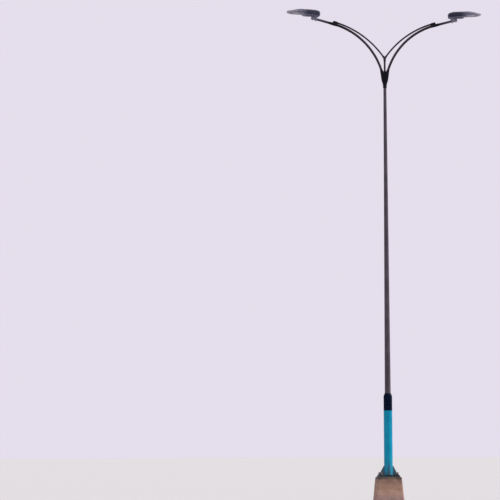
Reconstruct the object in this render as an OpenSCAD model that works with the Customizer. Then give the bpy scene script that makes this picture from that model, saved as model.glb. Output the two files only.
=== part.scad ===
// Twin-arm street lighting column on a concrete pedestal.
// The right arm points along +X, the row of columns runs along Y, and the ground is at Z = 0.

/* [Pedestal] */
// Height of the concrete pedestal
pedestal_h = 605; // [400:5:900]
// Width of the pedestal at its top
pedestal_top_w = 580; // [555:5:660]
// Width of the pedestal at the ground
pedestal_base_w = 690; // [665:5:900]
// Chamfer on the edges of the pedestal
pedestal_chamfer = 18; // [6:1:30]

/* [Base plate] */
// Thickness of the grout bed under the plate
grout_h = 20; // [10:1:40]
// How far the foot of the grout stands out past the plate
grout_margin = 14; // [4:1:24]
// Width of the square base plate
plate_w = 500; // [480:5:525]
// Thickness of the base plate
plate_t = 25; // [16:1:40]
// Radius of the plate's corners
plate_corner_r = 28; // [5:1:45]
// Distance between the anchor bolt holes
bolt_pitch = 400; // [370:5:420]
// Diameter of an anchor bolt hole
bolt_hole_d = 33; // [22:1:42]
// Diameter of the cable hole in the middle of the plate
cable_hole_d = 120; // [60:5:160]

/* [Gussets] */
// Height of a gusset
gusset_h = 230; // [160:10:430]
// Length of a gusset's foot on the plate
gusset_foot = 124; // [80:2:140]
// Thickness of a gusset
gusset_t = 12; // [6:1:20]
// Width left at the top of a gusset
gusset_tip = 12; // [5:1:40]
// Height of the upright edge at a gusset's outer end
gusset_nib = 18; // [5:1:40]
// Corner cut that clears the weld at a gusset's inner foot
gusset_cope = 16; // [5:1:30]

/* [Base tube] */
// Outer diameter of the base tube
base_tube_d = 212; // [200:1:222]
// Wall thickness of the base tube
base_tube_wall = 8; // [5:0.5:12]
// Height of the base tube above the plate
base_tube_h = 1590; // [1300:10:2200]

/* [Handhole] */
// Width of the handhole cut in the base tube
handhole_w = 120; // [100:2:136]
// Height of the handhole
handhole_h = 420; // [300:10:520]
// Height of the handhole's middle above the plate
handhole_mid = 720; // [700:10:900]
// Width of the frame around the handhole
handhole_rim = 15; // [12:1:24]
// Depth of the frame from the tube's face inwards
handhole_depth = 20; // [14:1:26]
// How far the frame stands proud of the tube
handhole_proud = 3; // [1:0.5:6]
// Width of the ledge that the cover rests on
handhole_ledge = 8; // [4:1:10]
// Thickness of the handhole cover
cover_t = 5; // [3:0.5:8]

/* [Collar] */
// Outer diameter of the collar
collar_d = 212; // [202:1:236]
// Height of the collar
collar_h = 420; // [300:5:600]
// Height of the sloping shoulder at the collar's top
collar_shoulder_h = 60; // [30:2:140]
// Width of the collar's flat rim around the shaft
collar_rim = 7; // [3:1:12]
// Height of the bead round the foot of the collar
collar_bead_h = 26; // [12:1:50]
// How far that bead stands out
collar_bead = 3; // [1:0.5:8]
// Wall thickness of the collar
collar_wall = 7; // [4:0.5:12]
// Thickness of the web that the shaft stands on
collar_web = 20; // [10:1:40]
// Length of the plug that goes down into the base tube
collar_plug = 80; // [40:5:150]
// Height of the ring that grips the shaft
collar_grip = 40; // [20:2:60]

/* [Shaft] */
// Outer diameter of the shaft at its foot
shaft_foot_d = 152; // [124:1:166]
// Outer diameter of the shaft at its top
shaft_top_d = 74; // [66:1:84]
// Wall thickness of the shaft
shaft_wall = 4; // [3:0.5:6]
// Length of the shaft
shaft_len = 8240; // [6000:20:9500]

/* [Arm hub] */
// Height of the hub's body
hub_h = 410; // [380:5:480]
// Depth of the socket that takes the shaft's top
hub_shaft_socket = 184; // [140:2:210]
// Metal around the shaft and the tubes in the hub
hub_wall = 9; // [6:0.5:14]
// Height at which the hub starts to widen
hub_neck_h = 50; // [20:2:90]
// Height over which the hub widens
hub_flare_h = 190; // [120:5:240]
// Width of the hub where the flare ends
hub_waist_w = 178; // [166:2:206]
// How far the tube sockets stand out of the hub's top
hub_lip = 42; // [10:1:80]
// Chamfer round the hub's top
hub_chamfer = 7; // [2:0.5:12]
// How much thinner the hub's sockets are than its wall
socket_thinning = 2; // [0:0.5:4]

/* [Lower tubes] */
// Outer diameter of a lower arm tube
lower_d = 60.3; // [54:0.1:66]
// Wall thickness of a lower arm tube
lower_wall = 4; // [2.5:0.1:6]
// Bend radius of a lower arm tube
lower_bend_r = 1734; // [1500:2:1900]
// Distance between the two lower tubes at the hub's top
root_spread = 146; // [138:1:160]
// Slope of a lower tube where it leaves the hub
root_slope = 74; // [70:0.5:78]
// Slope of a lower tube at its outer end
tip_slope = 15; // [10:0.5:22]
// Depth of a lower tube in the hub
lower_socket = 106; // [70:2:120]

/* [Upper tubes and stem] */
// Outer diameter of an upper arm tube
upper_d = 42.4; // [34:0.1:48]
// Wall thickness of an upper arm tube
upper_wall = 3.2; // [2:0.1:5]
// Height of the fork above the hub's top
fork_rise = 335; // [290:5:430]
// Outer diameter of the centre stem
stem_d = 48.3; // [38:0.1:54]
// Wall thickness of the centre stem
stem_wall = 3.6; // [2:0.1:6]
// Depth of the stem in the hub
stem_socket = 42; // [20:1:50]
// Metal around the tubes in the fork knot
knot_wall = 6; // [4:0.5:10]
// Length of each tube held in the fork knot
knot_grip = 34; // [20:1:50]
// How far the fork knot's ball stands out past the stem's socket
knot_ball = 3; // [1:0.5:8]

/* [Tip sleeve and spigot] */
// Length of the sleeve on each side of the lower tube's end
sleeve_half = 100; // [70:1:120]
// Metal around the tubes in the sleeve
sleeve_wall = 7; // [4:0.5:10]
// Metal between the two tubes in the sleeve
sleeve_web = 4; // [2:0.5:8]
// Length of the sleeve's straight part past the lower tube's end
sleeve_land = 14; // [4:1:40]
// Metal left around the spigot at the sleeve's outer end
sleeve_rim = 3; // [2:0.5:5]
// Thickness of the stop between the lower tube and the spigot
sleeve_stop = 6; // [3:0.5:12]
// How much shorter the upper tube's lug is than the sleeve
lug_step = 8; // [2:1:20]
// Outer diameter of the lamp spigot
spigot_d = 60.3; // [56:0.1:62]
// Wall thickness of the lamp spigot
spigot_wall = 3.6; // [2:0.1:6]
// Distance from the lower tube's end to the spigot's outer end
spigot_len = 575; // [500:5:650]

/* [Lamp] */
// Length of a lamp
lamp_len = 845; // [775:5:915]
// Width of a lamp
lamp_w = 330; // [300:5:380]
// Width of a lamp's rear end
lamp_rear_w = 236; // [210:5:280]
// Upward tilt of a lamp
lamp_tilt = 3; // [0:0.5:8]
// Height of the knuckle between the spigot's axis and the lamp
lamp_lift = 56; // [52:1:100]
// How far the lamp's rear end stands back from the spigot's end
lamp_setback = 215; // [185:2:235]
// Height of the lamp's back above its parting line
lamp_back_h = 92; // [74:1:110]
// Height of the lamp's rear end above its parting line
lamp_rear_h = 64; // [48:1:80]
// Height of the lamp's nose above its parting line
lamp_nose_h = 30; // [20:1:40]
// Depth of the gear box below the parting line
gear_depth = 56; // [46:1:66]
// Length of the gear box
gear_len = 400; // [380:5:430]
// Depth of the lamp's front below the parting line
front_depth = 20; // [14:1:28]
// Length of the slope between the gear box and the front
step_len = 74; // [50:2:90]
// Length of the rounded nose
nose_len = 170; // [120:5:220]
// Length of the rounded rear corners
tail_len = 46; // [30:2:70]
// Radius of the lower edge of the housing
edge_r = 12; // [6:1:14]
// Distance from the rear end to the full height of the lamp's back
back_rise_len = 140; // [100:5:200]
// Distance from the rear end to the lamp's full width
back_widen_len = 330; // [260:5:400]

/* [Cooling fins] */
// Number of cooling fins
fin_count = 11; // [5:2:15]
// Distance between the fins
fin_pitch = 21; // [16:1:22]
// Thickness of a fin
fin_t = 4; // [3:0.5:6]
// Height of a fin above the housing
fin_h = 12; // [6:1:18]
// Distance from the lamp's rear end to the fins
fin_start = 410; // [380:5:440]
// Length of the fins
fin_len = 300; // [220:5:330]

/* [Lens] */
// Distance from the lamp's rear end to the lens opening
lens_start = 496; // [490:2:510]
// Length of the lens opening
lens_len = 232; // [180:2:250]
// Width of the lens opening
lens_w = 236; // [180:2:250]
// Radius of the opening's corners
lens_corner_r = 22; // [8:1:40]
// Depth of the lens opening
lens_depth = 19; // [18:0.5:24]
// Width of the frame outside the opening
lens_frame_out = 9; // [5:1:14]
// Width of the frame's lip under the glass
lens_frame_lip = 8; // [5:1:14]
// Thickness of the lens frame
lens_frame_t = 5; // [3:0.5:8]
// Thickness of the lens glass
glass_t = 5; // [3:0.5:6]
// Thickness of the light panel
panel_t = 5; // [3:0.5:7]
// Height of a light's own small lens
bead_h = 4; // [2:0.5:5]
// Diameter of a light's own small lens
bead_d = 15; // [8:0.5:18]
// Width of the panel's rim around the lights
bead_margin = 18; // [12:1:30]
// Number of lights along the lamp
bead_rows = 8; // [4:1:9]
// Number of lights across the lamp
bead_columns = 8; // [4:1:9]

/* [Gear cover and knuckle] */
// Distance from the lamp's rear end to the gear cover
gear_cover_start = 190; // [184:2:200]
// Length of the gear cover
gear_cover_len = 186; // [150:2:190]
// Width of the gear cover
gear_cover_w = 232; // [180:2:250]
// Thickness of the gear cover
gear_cover_t = 5; // [3:0.5:8]
// Radius of the gear cover's corners
gear_cover_corner_r = 20; // [6:1:40]
// Height of the ribs on the gear cover
gear_rib_h = 4; // [2:0.5:8]
// Thickness of those ribs
gear_rib_t = 4; // [2:0.5:8]
// Distance between them
gear_rib_pitch = 40; // [24:1:44]
// Distance from the ends of the gear cover to its ribs
gear_rib_margin = 20; // [10:1:40]
// Length of the knuckle's seat on the lamp
seat_len = 150; // [120:2:158]
// Width of the knuckle's seat
seat_w = 104; // [80:2:130]
// Thickness of the knuckle's seat
seat_t = 12; // [8:1:18]
// Radius of the seat's corners
seat_corner_r = 18; // [6:1:30]
// Distance from the lamp's rear end to the seat
seat_start = 26; // [22:1:32]
// How far the neck of the knuckle stays inside the seat's edge
neck_margin = 15; // [8:1:24]
// Metal around the spigot in the knuckle
knuckle_wall = 7; // [5:0.5:10]
// Length of the spigot held in the knuckle
knuckle_grip = 150; // [120:2:180]
// Length of bare barrel at the knuckle's inner end
barrel_bare = 52; // [30:2:60]
// Radius of the bosses for the clamp screws
boss_r = 14; // [10:0.5:18]
// How far those bosses stand out of the barrel
boss_h = 6; // [3:0.5:12]
// Distance from the knuckle's ends to the bosses
boss_inset = 32; // [24:1:44]

/* [Fits] */
// Clearance around each tube in its socket
fit = 0.3; // [0.2:0.05:0.5]
// Clearance around covers and glass
cover_fit = 0.8; // [0.5:0.1:1.5]

/* [Hidden] */
$fn = 96;

// Small length that carries a cut past a face
over = 1;

// Heights from the ground up
plate_z = pedestal_h + grout_h;
tube_z = plate_z + plate_t;
collar_z = tube_z + base_tube_h;
shaft_z = collar_z + collar_web;
shaft_top_z = shaft_z + shaft_len;
hub_z = shaft_top_z - hub_shaft_socket;
hub_top_z = hub_z + hub_h;
fork_z = hub_top_z + fork_rise;

// Radii of the tubes
base_tube_r = base_tube_d / 2;
lower_r = lower_d / 2;
upper_r = upper_d / 2;
stem_r = stem_d / 2;
spigot_r = spigot_d / 2;

// Radius of the shaft at a height above the ground
function shaft_r(z) = (shaft_foot_d + (shaft_top_d - shaft_foot_d) * (z - shaft_z) / shaft_len) / 2;

// A point of an arc, given its centre, its radius and the slope of the curve there
function arc_point(centre, radius, slope) = centre + radius * [-sin(slope), cos(slope)];

// Lower arm tube: one bend from the hub to the tip sleeve, as points in the plane of X and Z
lower_root = [root_spread / 2, hub_top_z];
lower_centre = lower_root + lower_bend_r * [sin(root_slope), -cos(root_slope)];
lower_foot_slope = root_slope + lower_socket / lower_bend_r * 180 / PI;
lower_tip = arc_point(lower_centre, lower_bend_r, tip_slope);

// Upper arm tube: one bend from the fork to a seat on the tip sleeve, level with the lower tube's end
tube_spacing = lower_r + upper_r + sleeve_web;
upper_tip = arc_point(lower_centre, lower_bend_r + tube_spacing, tip_slope);
upper_run = upper_tip - [0, fork_z];
upper_chord_slope = atan2(upper_run[1], upper_run[0]);
fork_slope = 2 * upper_chord_slope - tip_slope;
upper_bend_r = norm(upper_run) / (2 * sin((fork_slope - tip_slope) / 2));
upper_centre = [0, fork_z] + upper_bend_r * [sin(fork_slope), -cos(fork_slope)];

// Each upper tube starts where the pair would otherwise meet inside the fork knot
knot_gap = 2.5;
knot_core = (upper_r * sin(fork_slope) + knot_gap) / cos(fork_slope);
knot_end = knot_core + knot_grip;

// Place of the lamps: the parting line's rear end
spigot_end = lower_tip + spigot_len * [cos(tip_slope), sin(tip_slope)];
lamp_seat = spigot_end + lamp_lift * [-sin(lamp_tilt), cos(lamp_tilt)];
lamp_rear = lamp_seat - lamp_setback * [cos(lamp_tilt), sin(lamp_tilt)]
    + gear_depth * [-sin(lamp_tilt), cos(lamp_tilt)];
knuckle_r = spigot_r + fit + knuckle_wall;

// Shares of a rise: a straight mix of two values, and an eased step from 0 to 1
function mix(a, b, share) = a + (b - a) * share;
function eased(share) = let (s = max(0, min(1, share))) s * s * (3 - 2 * s);

// Signed power, for rounded outlines between an ellipse and a rectangle
function bulge(value, power) = sign(value) * pow(abs(value), power);

// A flat shape with rounded corners, made of true arcs
module rounded_plate(length, width, corner_r) {
    square([length - 2 * corner_r, width], center = true);
    square([length, width - 2 * corner_r], center = true);
    for (x = [-1, 1], y = [-1, 1])
        translate([x * (length / 2 - corner_r), y * (width / 2 - corner_r)]) circle(corner_r);
}

// A shape with straight sides and round ends, standing upright
module long_hole(width, height) {
    square([width, height - width], center = true);
    for (y = [-1, 1]) translate([0, y * (height - width) / 2]) circle(d = width);
}

// A solid through rings of points that have the same number of points each
module loft(rings) {
    count = len(rings[0]);
    last = len(rings) - 1;
    sides = [
        for (i = [0:last - 1], j = [0:count - 1])
            let (a = i * count + j, b = i * count + (j + 1) % count)
                each [[a, a + count, b + count], [a, b + count, b]]
    ];
    foot = [for (j = [0:count - 1]) j];
    head = [for (j = [count - 1:-1:0]) last * count + j];
    polyhedron([for (ring = rings) each ring], concat(sides, [foot, head]));
}

// A square block whose sides lean in, with chamfered edges
module leaning_block(base_w, top_w, height, chamfer) {
    lean = (base_w - top_w) / 2 / height;
    side = [
        [-base_w / 2, 0], [base_w / 2, 0],
        [top_w / 2 + lean * chamfer, height - chamfer], [top_w / 2 - chamfer, height],
        [-top_w / 2 + chamfer, height], [-top_w / 2 - lean * chamfer, height - chamfer]
    ];
    corner_base = base_w / sqrt(2) - chamfer;
    corner_top = top_w / sqrt(2) - chamfer;
    corner = [
        [-corner_base, 0], [corner_base, 0], [corner_top, height], [-corner_top, height]
    ];
    intersection() {
        upright_slab(side, base_w);
        rotate(90) upright_slab(side, base_w);
        rotate(45) upright_slab(corner, base_w * 2);
        rotate(135) upright_slab(corner, base_w * 2);
    }
}

// An outline in the plane of X and Z, given a depth along Y
module upright_slab(outline, depth) {
    rotate([90, 0, 0]) linear_extrude(depth, center = true) polygon(outline);
}

// A round bar along an arc in the plane of X and Z, between two slopes of the curve
module arc_bar(centre, bend_r, bar_r, steep, flat) {
    translate([centre[0], 0, centre[1]]) rotate([90, 0, 0]) rotate([0, 0, flat + 90])
        rotate_extrude(angle = steep - flat) translate([bend_r, 0]) circle(bar_r);
}

// The lower tube's line as a bar of any radius
module lower_bar(bar_r, steep, flat) {
    arc_bar(lower_centre, lower_bend_r, bar_r, steep, flat);
}

// The upper tube's line as a bar of any radius
module upper_bar(bar_r, steep, flat) {
    arc_bar(upper_centre, upper_bend_r, bar_r, steep, flat);
}

// The spigot's line: local Z runs out along the spigot from the lower tube's end
module on_spigot() {
    translate([lower_tip[0], 0, lower_tip[1]]) rotate([0, 90 - tip_slope, 0]) children();
}

// The lamp's own frame: X from its rear end to its nose, Z up from its parting line
module on_lamp() {
    translate([lamp_rear[0], 0, lamp_rear[1]]) rotate([0, -lamp_tilt, 0]) children();
}

// The middle of the knuckle's seat: Z = 0 is the seat's lower face
module on_seat() {
    on_lamp() translate([seat_start + seat_len / 2, 0, -gear_depth - seat_t]) children();
}

// The other arm is the mirror image of this one
module other_side() {
    mirror([1, 0, 0]) children();
}

module concrete_pedestal() {
    color([0.57, 0.46, 0.41])
        leaning_block(pedestal_base_w, pedestal_top_w, pedestal_h, pedestal_chamfer);
}

module grout_bed() {
    color([0.5, 0.45, 0.42]) translate([0, 0, pedestal_h])
        linear_extrude(grout_h) rounded_plate(plate_w + grout_margin, plate_w + grout_margin, plate_corner_r);
}

module base_plate() {
    half_pitch = bolt_pitch / 2;
    color([0.16, 0.22, 0.26]) translate([0, 0, plate_z]) difference() {
        linear_extrude(plate_t) rounded_plate(plate_w, plate_w, plate_corner_r);
        for (x = [-half_pitch, half_pitch], y = [-half_pitch, half_pitch])
            translate([x, y, -over]) cylinder(d = bolt_hole_d, h = plate_t + 2 * over);
        translate([0, 0, -over]) cylinder(d = cable_hole_d, h = plate_t + 2 * over);
    }
}

// Four triangular plates between the base tube and the base plate
module base_gussets() {
    inner = base_tube_r;
    outline = [
        [0, gusset_cope], [inner, gusset_cope], [inner + gusset_cope, 0],
        [inner + gusset_foot, 0], [inner + gusset_foot, gusset_nib],
        [inner + gusset_tip, gusset_h], [0, gusset_h]
    ];
    color([0.24, 0.29, 0.34]) translate([0, 0, tube_z]) difference() {
        for (turn = [0:90:270]) rotate(turn) upright_slab(outline, gusset_t);
        translate([0, 0, -over]) cylinder(r = base_tube_r + fit, h = gusset_h + 2 * over);
    }
}

// A prism through the tube's rear wall, with the handhole's outline
module handhole_prism(width, height) {
    translate([0, 0, tube_z + handhole_mid]) rotate([-90, 0, 0])
        linear_extrude(base_tube_d) long_hole(width, height);
}

module base_tube() {
    color([0.07, 0.5, 0.6]) difference() {
        translate([0, 0, tube_z]) cylinder(r = base_tube_r, h = base_tube_h);
        translate([0, 0, tube_z - over])
            cylinder(r = base_tube_r - base_tube_wall, h = base_tube_h + 2 * over);
        handhole_prism(handhole_w, handhole_h);
    }
}

// A pipe wall about the column's axis, tall enough for the handhole
module handhole_band(inner_r, outer_r) {
    translate([0, 0, tube_z + handhole_mid - handhole_h]) difference() {
        cylinder(r = outer_r, h = 2 * handhole_h);
        translate([0, 0, -over]) cylinder(r = inner_r, h = 2 * handhole_h + 2 * over);
    }
}

// Frame in the handhole, with a ledge that the cover rests on
module handhole_frame() {
    outer_w = handhole_w - 2 * fit;
    outer_h = handhole_h - 2 * fit;
    clear_w = handhole_w - 2 * handhole_rim;
    clear_h = handhole_h - 2 * handhole_rim;
    rebate = 2 * handhole_ledge;
    color([0.09, 0.42, 0.5]) difference() {
        intersection() {
            handhole_prism(outer_w, outer_h);
            handhole_band(base_tube_r - handhole_depth, base_tube_r + handhole_proud);
        }
        handhole_prism(clear_w, clear_h);
        intersection() {
            handhole_prism(clear_w + rebate, clear_h + rebate);
            handhole_band(base_tube_r + handhole_proud - cover_t, base_tube_d);
        }
    }
}

// Curved cover plate that closes the handhole
module handhole_cover() {
    cover_w = handhole_w - 2 * (handhole_rim - handhole_ledge + cover_fit);
    cover_h = handhole_h - 2 * (handhole_rim - handhole_ledge + cover_fit);
    inner_r = base_tube_r + handhole_proud - cover_t + fit;
    color([0.07, 0.5, 0.6]) intersection() {
        handhole_prism(cover_w, cover_h);
        handhole_band(inner_r, inner_r + cover_t);
    }
}

// Sleeve between the base tube and the shaft: a shell with a web that the shaft stands on
module reducer_collar() {
    outer_r = collar_d / 2;
    bead_r = outer_r + collar_bead;
    plug_r = base_tube_r - base_tube_wall - fit;
    top_z = collar_z + collar_h;
    rim_r = shaft_r(top_z) + fit + collar_rim;
    shoulder_z = top_z - collar_shoulder_h;
    grip_z = top_z - collar_grip;
    outline = [
        [plug_r - collar_wall, collar_z - collar_plug], [plug_r, collar_z - collar_plug],
        [plug_r, collar_z], [bead_r, collar_z], [bead_r, collar_z + collar_bead_h],
        [outer_r, collar_z + collar_bead_h + collar_bead], [outer_r, shoulder_z],
        [rim_r, top_z], [shaft_r(top_z) + fit, top_z], [shaft_r(grip_z) + fit, grip_z],
        [outer_r - collar_wall, shoulder_z - collar_wall], [outer_r - collar_wall, shaft_z],
        [shaft_r(shaft_z) - 2 * shaft_wall, shaft_z], [plug_r - collar_wall, collar_z]
    ];
    color([0.03, 0.06, 0.12]) rotate_extrude() polygon(outline);
}

module tapered_shaft() {
    color([0.24, 0.24, 0.28]) rotate_extrude() polygon([
        [shaft_foot_d / 2 - shaft_wall, shaft_z], [shaft_foot_d / 2, shaft_z],
        [shaft_top_d / 2, shaft_top_z], [shaft_top_d / 2 - shaft_wall, shaft_top_z]
    ]);
}

// Outline of the hub at a share of its height, as half widths along X and Y
hub_neck_r = shaft_r(hub_z) + fit + hub_wall;
hub_top_x = lower_root[0] + (lower_r + fit + hub_wall) / sin(root_slope);
hub_top_y = lower_r + fit + hub_wall;
hub_round = 2;
hub_boxy = 3.2;
function hub_half_x(rise) =
    let (waist_z = hub_neck_h + hub_flare_h)
        rise < waist_z
            ? mix(hub_neck_r, hub_waist_w / 2, eased((rise - hub_neck_h) / hub_flare_h))
            : mix(hub_waist_w / 2, hub_top_x, (rise - waist_z) / (hub_h - waist_z));
function hub_ring(rise, inset) =
    let (share = eased(rise / hub_h),
         power = 2 / mix(hub_round, hub_boxy, share),
         half_x = hub_half_x(rise) - inset,
         half_y = mix(hub_neck_r, hub_top_y, share) - inset)
        [for (turn = [0:7.5:352.5])
            [half_x * bulge(cos(turn), power), half_y * bulge(sin(turn), power), hub_z + rise]];

// Cast fork body: a funnel over the shaft with sockets for the stem and the two lower tubes
module arm_hub() {
    lip_slope = root_slope - hub_lip / lower_bend_r * 180 / PI;
    level = (hub_h - hub_chamfer) / 16;
    color([0.06, 0.06, 0.09]) difference() {
        union() {
            loft(concat(
                [for (i = [0:16]) hub_ring(i * level, 0)],
                [hub_ring(hub_h, hub_chamfer)]
            ));
            for (side = [0, 1]) mirror([side, 0, 0])
                lower_bar(lower_r + fit + hub_wall - socket_thinning, lower_foot_slope - 1, lip_slope);
            translate([0, 0, hub_top_z - stem_socket])
                cylinder(r = stem_r + fit + hub_wall - socket_thinning, h = stem_socket + hub_lip / 2);
        }
        rotate_extrude() polygon([
            [0, hub_z - over], [shaft_r(hub_z - over) + fit, hub_z - over],
            [shaft_r(shaft_top_z) + fit, shaft_top_z], [0, shaft_top_z]
        ]);
        for (side = [0, 1]) mirror([side, 0, 0])
            lower_bar(lower_r + fit, lower_foot_slope, lip_slope - 1);
        translate([0, 0, hub_top_z - stem_socket]) cylinder(r = stem_r + fit, h = stem_socket + hub_lip);
    }
}

module centre_stem() {
    foot = hub_top_z - stem_socket;
    head = fork_z - knot_core;
    color([0.26, 0.26, 0.3]) translate([0, 0, foot]) difference() {
        cylinder(r = stem_r, h = head - foot);
        translate([0, 0, -over]) cylinder(r = stem_r - stem_wall, h = head - foot + 2 * over);
    }
}

// Cast knot where the stem and the two upper tubes meet
module fork_knot() {
    grip_slope = fork_slope - knot_end / upper_bend_r * 180 / PI;
    core_slope = fork_slope - knot_core / upper_bend_r * 180 / PI;
    color([0.16, 0.16, 0.2]) difference() {
        union() {
            translate([0, 0, fork_z]) sphere(r = stem_r + fit + knot_wall + knot_ball);
            translate([0, 0, fork_z - knot_end])
                cylinder(r = stem_r + fit + knot_wall, h = knot_end);
            for (side = [0, 1]) mirror([side, 0, 0])
                upper_bar(upper_r + fit + knot_wall, fork_slope, grip_slope);
        }
        translate([0, 0, fork_z - knot_end - over])
            cylinder(r = stem_r + fit, h = knot_grip + over);
        for (side = [0, 1]) mirror([side, 0, 0])
            upper_bar(upper_r + fit, core_slope, grip_slope - 1);
    }
}

module lower_tube() {
    color([0.28, 0.28, 0.33]) difference() {
        lower_bar(lower_r, lower_foot_slope, tip_slope);
        lower_bar(lower_r - lower_wall, lower_foot_slope + 1, tip_slope - 1);
    }
}

module upper_tube() {
    core_slope = fork_slope - knot_core / upper_bend_r * 180 / PI;
    color([0.34, 0.33, 0.38]) difference() {
        upper_bar(upper_r, core_slope, tip_slope);
        upper_bar(upper_r - upper_wall, core_slope + 1, tip_slope - 1);
    }
}

// Cast sleeve over the ends of both tubes and the foot of the spigot: two parallel barrels,
// with a stop inside that the lower tube and the spigot butt against
module tip_sleeve() {
    barrel_r = lower_r + fit + sleeve_wall;
    lug_r = upper_r + fit + sleeve_wall;
    open_slope = tip_slope + 2 * sleeve_half / lower_bend_r * 180 / PI;
    lug_len = sleeve_half - lug_step;
    end_r = spigot_r + fit + sleeve_rim;
    passage_r = min(lower_r - lower_wall, spigot_r - spigot_wall);
    color([0.07, 0.07, 0.1]) difference() {
        on_spigot() {
            rotate_extrude() polygon([
                [0, -sleeve_half], [barrel_r, -sleeve_half], [barrel_r, sleeve_land],
                [end_r, sleeve_half], [0, sleeve_half]
            ]);
            translate([-tube_spacing, 0, -lug_len]) cylinder(r = lug_r, h = lug_len);
            translate([-tube_spacing, 0, 0]) sphere(lug_r);
        }
        lower_bar(lower_r + fit, open_slope, tip_slope);
        on_spigot() translate([0, 0, sleeve_stop]) cylinder(r = spigot_r + fit, h = sleeve_half);
        on_spigot() translate([0, 0, -over]) cylinder(r = passage_r, h = sleeve_stop + 2 * over);
        upper_bar(upper_r + fit, open_slope, tip_slope);
    }
}

module spigot() {
    length = spigot_len - sleeve_stop;
    color([0.4, 0.39, 0.45]) on_spigot() translate([0, 0, sleeve_stop]) difference() {
        cylinder(r = spigot_r, h = length);
        translate([0, 0, -over]) cylinder(r = spigot_r - spigot_wall, h = length + 2 * over);
    }
}

// Cast knuckle: a socket on the spigot and a seat under the lamp
module knuckle() {
    grip_foot = spigot_len - knuckle_grip;
    end_cap = knuckle_wall;
    neck_foot = grip_foot + barrel_bare;
    neck_len = seat_len - 2 * neck_margin;
    neck_w = seat_w - 2 * neck_margin;
    color([0.12, 0.13, 0.18]) difference() {
        union() {
            on_spigot() translate([0, 0, grip_foot]) cylinder(r = knuckle_r, h = knuckle_grip + end_cap);
            hull() {
                on_seat() linear_extrude(over)
                    rounded_plate(neck_len, neck_w, seat_corner_r - over, $fn = 32);
                on_spigot() translate([0, 0, neck_foot])
                    cylinder(r = spigot_r, h = spigot_len - end_cap - neck_foot, $fn = 32);
            }
            on_seat() linear_extrude(seat_t) rounded_plate(seat_len, seat_w, seat_corner_r);
            for (z = [grip_foot + boss_inset, spigot_len - boss_inset]) on_spigot() translate([0, 0, z])
                rotate([0, 90, 0]) cylinder(r = boss_r, h = knuckle_r + boss_h);
        }
        on_spigot() cylinder(r = spigot_r + fit, h = spigot_len);
    }
}

// Lamp housing: half width, height of the back and depth of the underside along its length
dome_power = 2.6;
function end_share(u) =
    u < tail_len ? sqrt(1 - pow(1 - u / tail_len, 2))
    : u > lamp_len - nose_len ? sqrt(1 - pow((u - lamp_len + nose_len) / nose_len, 2))
    : 1;
function lamp_half_w(u) = mix(lamp_rear_w, lamp_w, eased(u / back_widen_len)) / 2 * pow(end_share(u), 0.9);
function lamp_back(u) =
    (u < back_widen_len ? mix(lamp_rear_h, lamp_back_h, eased(u / back_rise_len))
    : mix(lamp_back_h, lamp_nose_h, eased((u - back_widen_len) / (lamp_len - back_widen_len))))
    * pow(end_share(u), 0.5);
function lamp_under(u) =
    mix(gear_depth, front_depth, eased((u - gear_len) / step_len)) * pow(end_share(u), 0.3);
function lamp_surface(u, v) =
    lamp_back(u) * pow(1 - pow(min(1, abs(v) / lamp_half_w(u)), dome_power), 1 / dome_power);
function lamp_ring(u) =
    let (half = lamp_half_w(u),
         under = lamp_under(u),
         edge = min(edge_r, half / 2, under / 2),
         bevel = edge * 0.3)
        concat(
            [for (turn = [0:9:180])
                [u, half * bulge(cos(turn), 2 / dome_power), lamp_back(u) * pow(sin(turn), 2 / dome_power)]],
            [[u, -half, edge - under], [u, bevel - half, bevel - under], [u, edge - half, -under],
             [u, half - edge, -under], [u, half - bevel, bevel - under], [u, half, edge - under]]
        );
lamp_stations = concat(
    [for (turn = [8:16:88]) tail_len * (1 - cos(turn))],
    [for (i = [0:5]) mix(tail_len, gear_len, i / 5)],
    [for (i = [1:5]) gear_len + step_len * i / 5],
    [for (i = [1:4]) mix(gear_len + step_len, lamp_len - nose_len, i / 4)],
    [for (turn = [12:12:84]) lamp_len - nose_len * (1 - sin(turn))]
);

// Row of cooling fins that follow the curve of the housing's back
module cooling_fins() {
    sink = 4;
    steps = 12;
    for (i = [0:fin_count - 1]) {
        v = (i - (fin_count - 1) / 2) * fin_pitch;
        us = [for (k = [0:steps]) fin_start + fin_len * k / steps];
        crest = [for (k = [0:steps])
            [us[k], lamp_surface(us[k], v) - sink / 2 + (fin_h + sink / 2) * sqrt(sin(180 * k / steps))]];
        root = [for (k = [steps:-1:0]) [us[k], lamp_surface(us[k], v) - sink]];
        translate([0, v, 0]) upright_slab(concat(crest, root), fin_t);
    }
}

module lens_outline(grow) {
    translate([lens_start + lens_len / 2, 0])
        rounded_plate(lens_len + 2 * grow, lens_w + 2 * grow, lens_corner_r + grow);
}

module lamp_housing() {
    color([0.22, 0.23, 0.32]) on_lamp() difference() {
        union() {
            loft([for (u = lamp_stations) lamp_ring(u)]);
            cooling_fins();
        }
        translate([0, 0, -front_depth - over]) linear_extrude(lens_depth + over) lens_outline(0);
    }
}

// Removable cover under the gear box, with stiffening ribs
module gear_cover() {
    rib_len = gear_cover_len - 2 * gear_rib_margin;
    mid = gear_cover_start + gear_cover_len / 2;
    color([0.16, 0.17, 0.23]) on_lamp() translate([mid, 0, -gear_depth - gear_cover_t]) {
        linear_extrude(gear_cover_t) rounded_plate(gear_cover_len, gear_cover_w, gear_cover_corner_r);
        for (i = [-2:2]) translate([0, i * gear_rib_pitch, -gear_rib_h])
            linear_extrude(gear_rib_h) rounded_plate(rib_len, gear_rib_t, gear_rib_t * 0.45);
    }
}

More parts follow.
